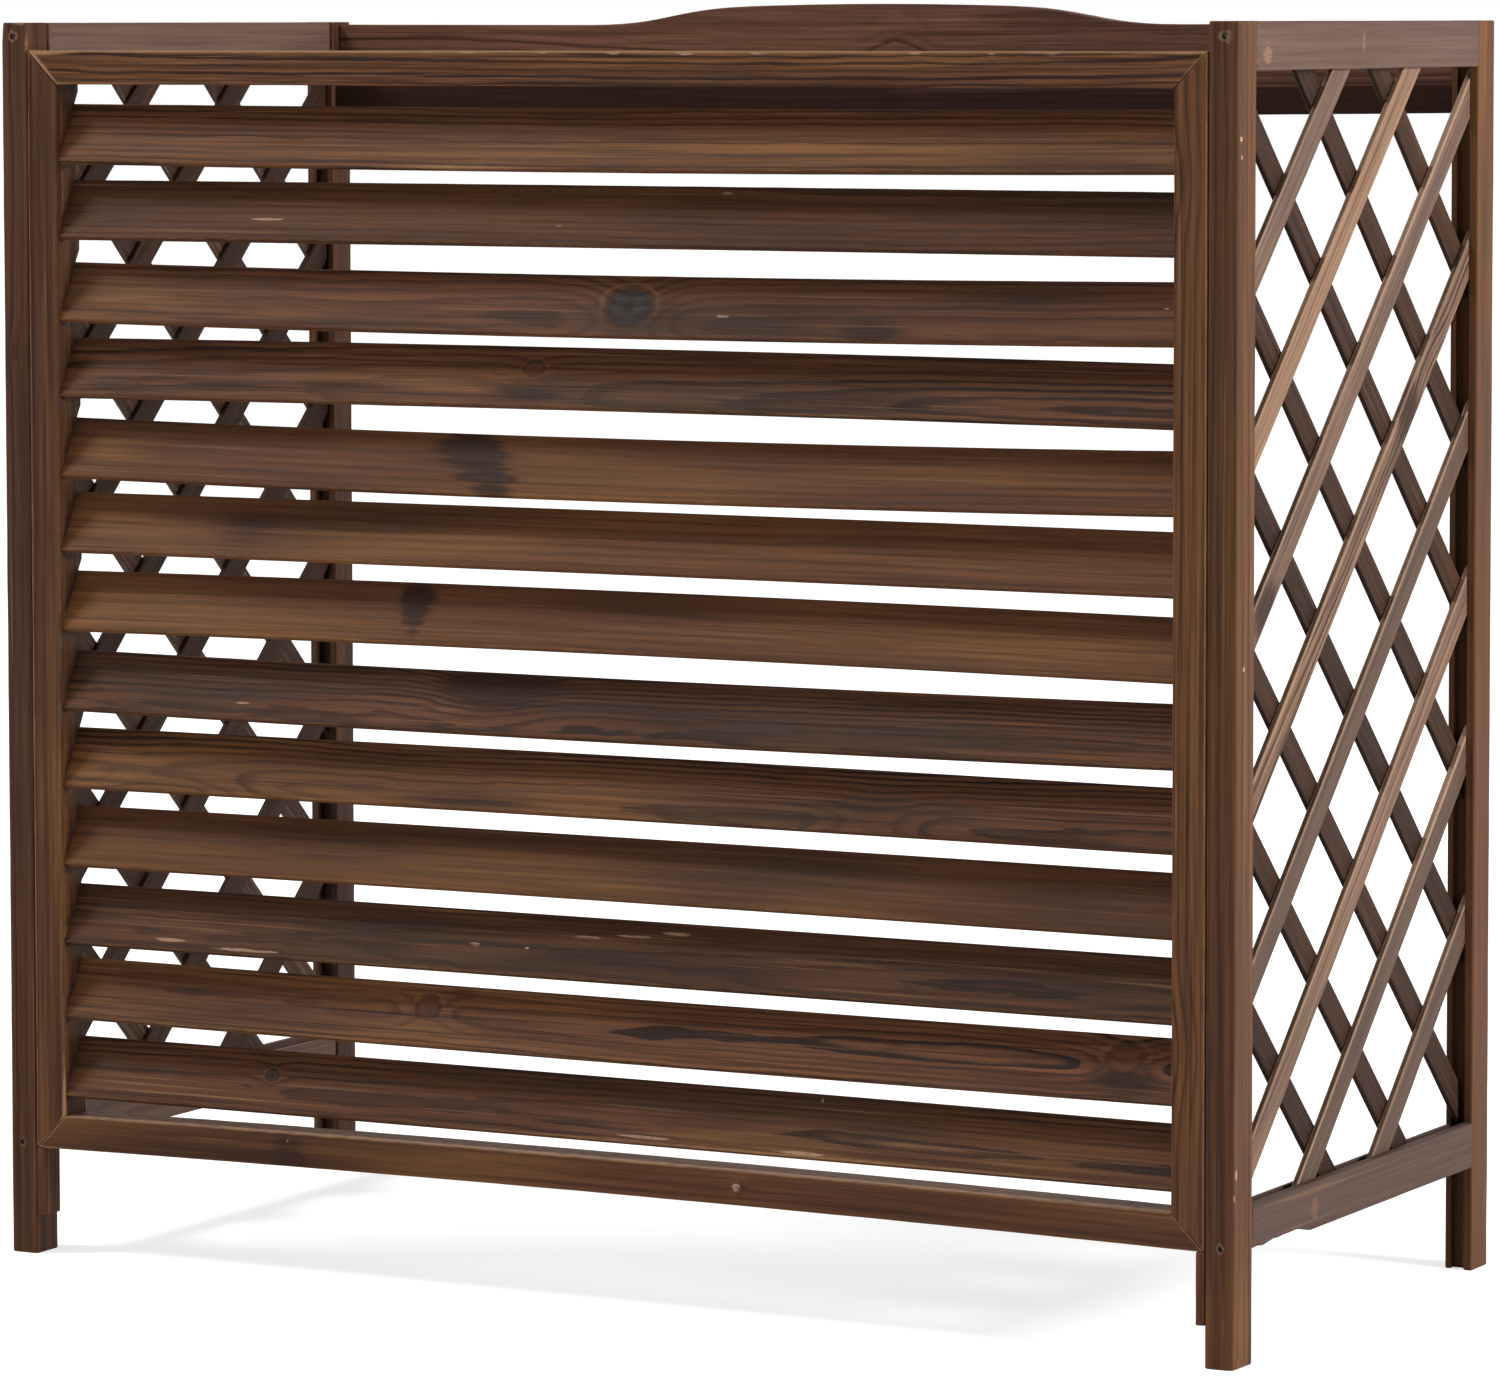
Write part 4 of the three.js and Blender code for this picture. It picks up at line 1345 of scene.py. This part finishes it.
@dataclass
class Studio:
    """The floor, the lamps, the white surroundings and the camera.

    picture_px, focal_px, centre_px: the photograph's size, focal length and optical centre.
    yaw, pitch, roll, place_mm: how the camera was turned, in degrees, and where it stood.
    glow_from_to_m, glow_levels: the floor's glow to the eye, weaker near the screen to keep its shadow.
    fill: light from the surroundings.
    """

    picture_px: tuple[int, int] = (1500, 1380)
    focal_px: float = 6892.0
    yaw: float = -28.043
    pitch: float = 4.19
    roll: float = -0.0905
    place_mm: tuple[float, float, float] = (2344.3, -4391.9, 901.0)
    centre_px: tuple[float, float] = (750.0, 525.0)
    sensor_mm: float = 36.0
    clip_m: tuple[float, float] = (0.1, 200.0)
    floor_m: float = 60.0
    paper: str = "#e6e6e6"
    glow_from_to_m: tuple[float, float] = (1.0, 3.0)
    glow_levels: tuple[float, float] = (0.6, 1.0)
    fill: float = 0.12
    aim: Vector = field(default_factory=lambda: Vector((0.0, 0.0, 0.45)))
    lamps: tuple[Lamp, ...] = (
        Lamp("high soft box at the left", -60.0, 47.0, 6.0, 1.6, 0.7),
        Lamp("low soft box at the right", 90.0, 14.0, 4.6, 1.4, 1.4),
        Lamp("wide weak sheet in front", -8.0, 12.0, 6.0, 4.0, 0.22),
    )

    def build(self) -> None:
        """Builds the studio round the screen."""
        self.add_floor()
        self.add_surroundings()
        for lamp in self.lamps:
            self.add_lamp(lamp)
        self.add_camera()
        bpy.context.scene.view_settings.view_transform = "Standard"

    def seen(self, node: Callable[..., Socket]) -> Socket:
        """Tells where the eye sees the surroundings, straight, by reflection or through glass.

        Args:
            node: adds a node to the material.

        Returns:
            1 where it does and 0 elsewhere.
        """
        rays = node(RAYS).node.outputs
        mirrored = node(MOST, rays["Is Camera Ray"], rays["Is Glossy Ray"])
        return node(MOST, mirrored, rays["Is Transmission Ray"])

    def add_floor(self) -> None:
        """Adds the plain pale floor, which keeps the screen's shadow."""
        bpy.ops.object.select_all(action="DESELECT")
        bpy.ops.mesh.primitive_plane_add(size=self.floor_m, location=(0, 0, 0))
        floor = bpy.context.active_object
        floor.name = "studio_floor"
        material, tree = new_material("matt white studio paper")
        node = partial(add, tree)
        paper = node(MATT, linear(self.paper))
        level = node(EASE, node(LENGTH, node(PLACE)), *self.glow_from_to_m, *self.glow_levels)
        lit = node(BOTH, paper, node(GLOW, WHITE, level))
        node(SURFACE, node(EITHER, self.seen(node), paper, lit))
        floor.data.materials.append(material)

    def add_surroundings(self) -> None:
        """Makes the surroundings white to the eye and an even soft fill to the wood."""
        world = bpy.data.worlds.new("white studio")
        bpy.context.scene.world = world
        world.use_nodes = True
        world.node_tree.nodes.clear()
        node = partial(add, world.node_tree)
        shown = node(EITHER, self.seen(node), node(SKY, WHITE, self.fill), node(SKY, WHITE, 1.0))
        node(WORLD, shown)

    def add_lamp(self, lamp: Lamp) -> None:
        """Adds one soft box, turned to the screen.

        Args:
            lamp: the soft box.
        """
        turn, rise = math.radians(lamp.azimuth), math.radians(lamp.elevation)
        away = Vector((math.sin(turn) * math.cos(rise), -math.cos(turn) * math.cos(rise), math.sin(rise)))
        data = bpy.data.lights.new(lamp.name, "AREA")
        data.shape = "SQUARE"
        data.size = lamp.size
        # A white card that faces the lamp is as bright as its power over pi squared and the distance squared
        data.energy = lamp.level * math.pi**2 * lamp.distance**2
        box = bpy.data.objects.new(lamp.name, data)
        box.location = self.aim + away * lamp.distance
        box.rotation_mode = "QUATERNION"
        box.rotation_quaternion = (-away).to_track_quat("-Z", "Y")
        box.visible_camera = False
        box.visible_glossy = True
        bpy.context.scene.collection.objects.link(box)

    def add_camera(self) -> None:
        """Adds the camera where the photograph was taken from."""
        start = Matrix(((1, 0, 0), (0, 0, -1), (0, 1, 0)))
        angles = zip((self.roll, self.pitch, self.yaw), "ZXZ")
        roll, pitch, yaw = (Matrix.Rotation(math.radians(angle), 3, axis) for angle, axis in angles)
        right, down, ahead = roll @ pitch @ start @ yaw
        pose = Matrix((right, -down, -ahead)).transposed().to_4x4()
        pose.translation = Vector(self.place_mm) * MM
        data = bpy.data.cameras.new("photograph's view")
        data.sensor_width = self.sensor_mm
        data.lens = self.focal_px * self.sensor_mm / self.picture_px[0]
        data.shift_x = (self.picture_px[0] / 2 - self.centre_px[0]) / self.picture_px[0]
        data.shift_y = (self.centre_px[1] - self.picture_px[1] / 2) / self.picture_px[0]
        data.clip_start, data.clip_end = self.clip_m
        camera = bpy.data.objects.new("camera", data)
        camera.matrix_world = pose
        bpy.context.scene.collection.objects.link(camera)
        bpy.context.scene.camera = camera


def main() -> None:
    """Builds the screen and the studio round it."""
    logging.basicConfig(level=logging.INFO, format="%(name)s %(message)s")
    Studio().build()
    planed = WoodFinish("planed carbonised fir").build()
    board = WoodFinish(
        "carbonised fir board",
        early="#604136",
        golden="#74503a",
        # This colour also paints the shade along the board's foot
        char="#24120d",
        clouding=0.4,
        shine=0.06,
    ).build()
    grey_rail = WoodFinish(
        "weathered carbonised fir",
        early="#534038",
        golden="#5c4538",
        late="#30221d",
        raw="#745a44",
        clouding=0.3,
    ).build()
    outer_wood = WoodFinish(
        "pale carbonised fir strip",
        early="#654d3e",
        golden="#765840",
        late="#2c1d16",
        grey="#4a3b35",
        worn="#8a705c",
        raw="#8a705c",
        rubbing=0.6,
    ).build()
    inner_wood = WoodFinish(
        "dark carbonised fir strip",
        early="#2e1f18",
        golden="#402a1c",
        late="#1a100c",
        grey="#261a15",
        worn="#6b5040",
        rubbing=0.3,
        shine=0.06,
    ).build()
    Posts().build(planed)
    SideRails().build(grey_rail)
    LouvreFrame().build(planed)
    Slats().build(planed)
    BackBoard().build(board)
    Lattice().build(outer_wood, inner_wood)
    Screws().build(SteelFinish().build())


if __name__ == "__main__":
    main()
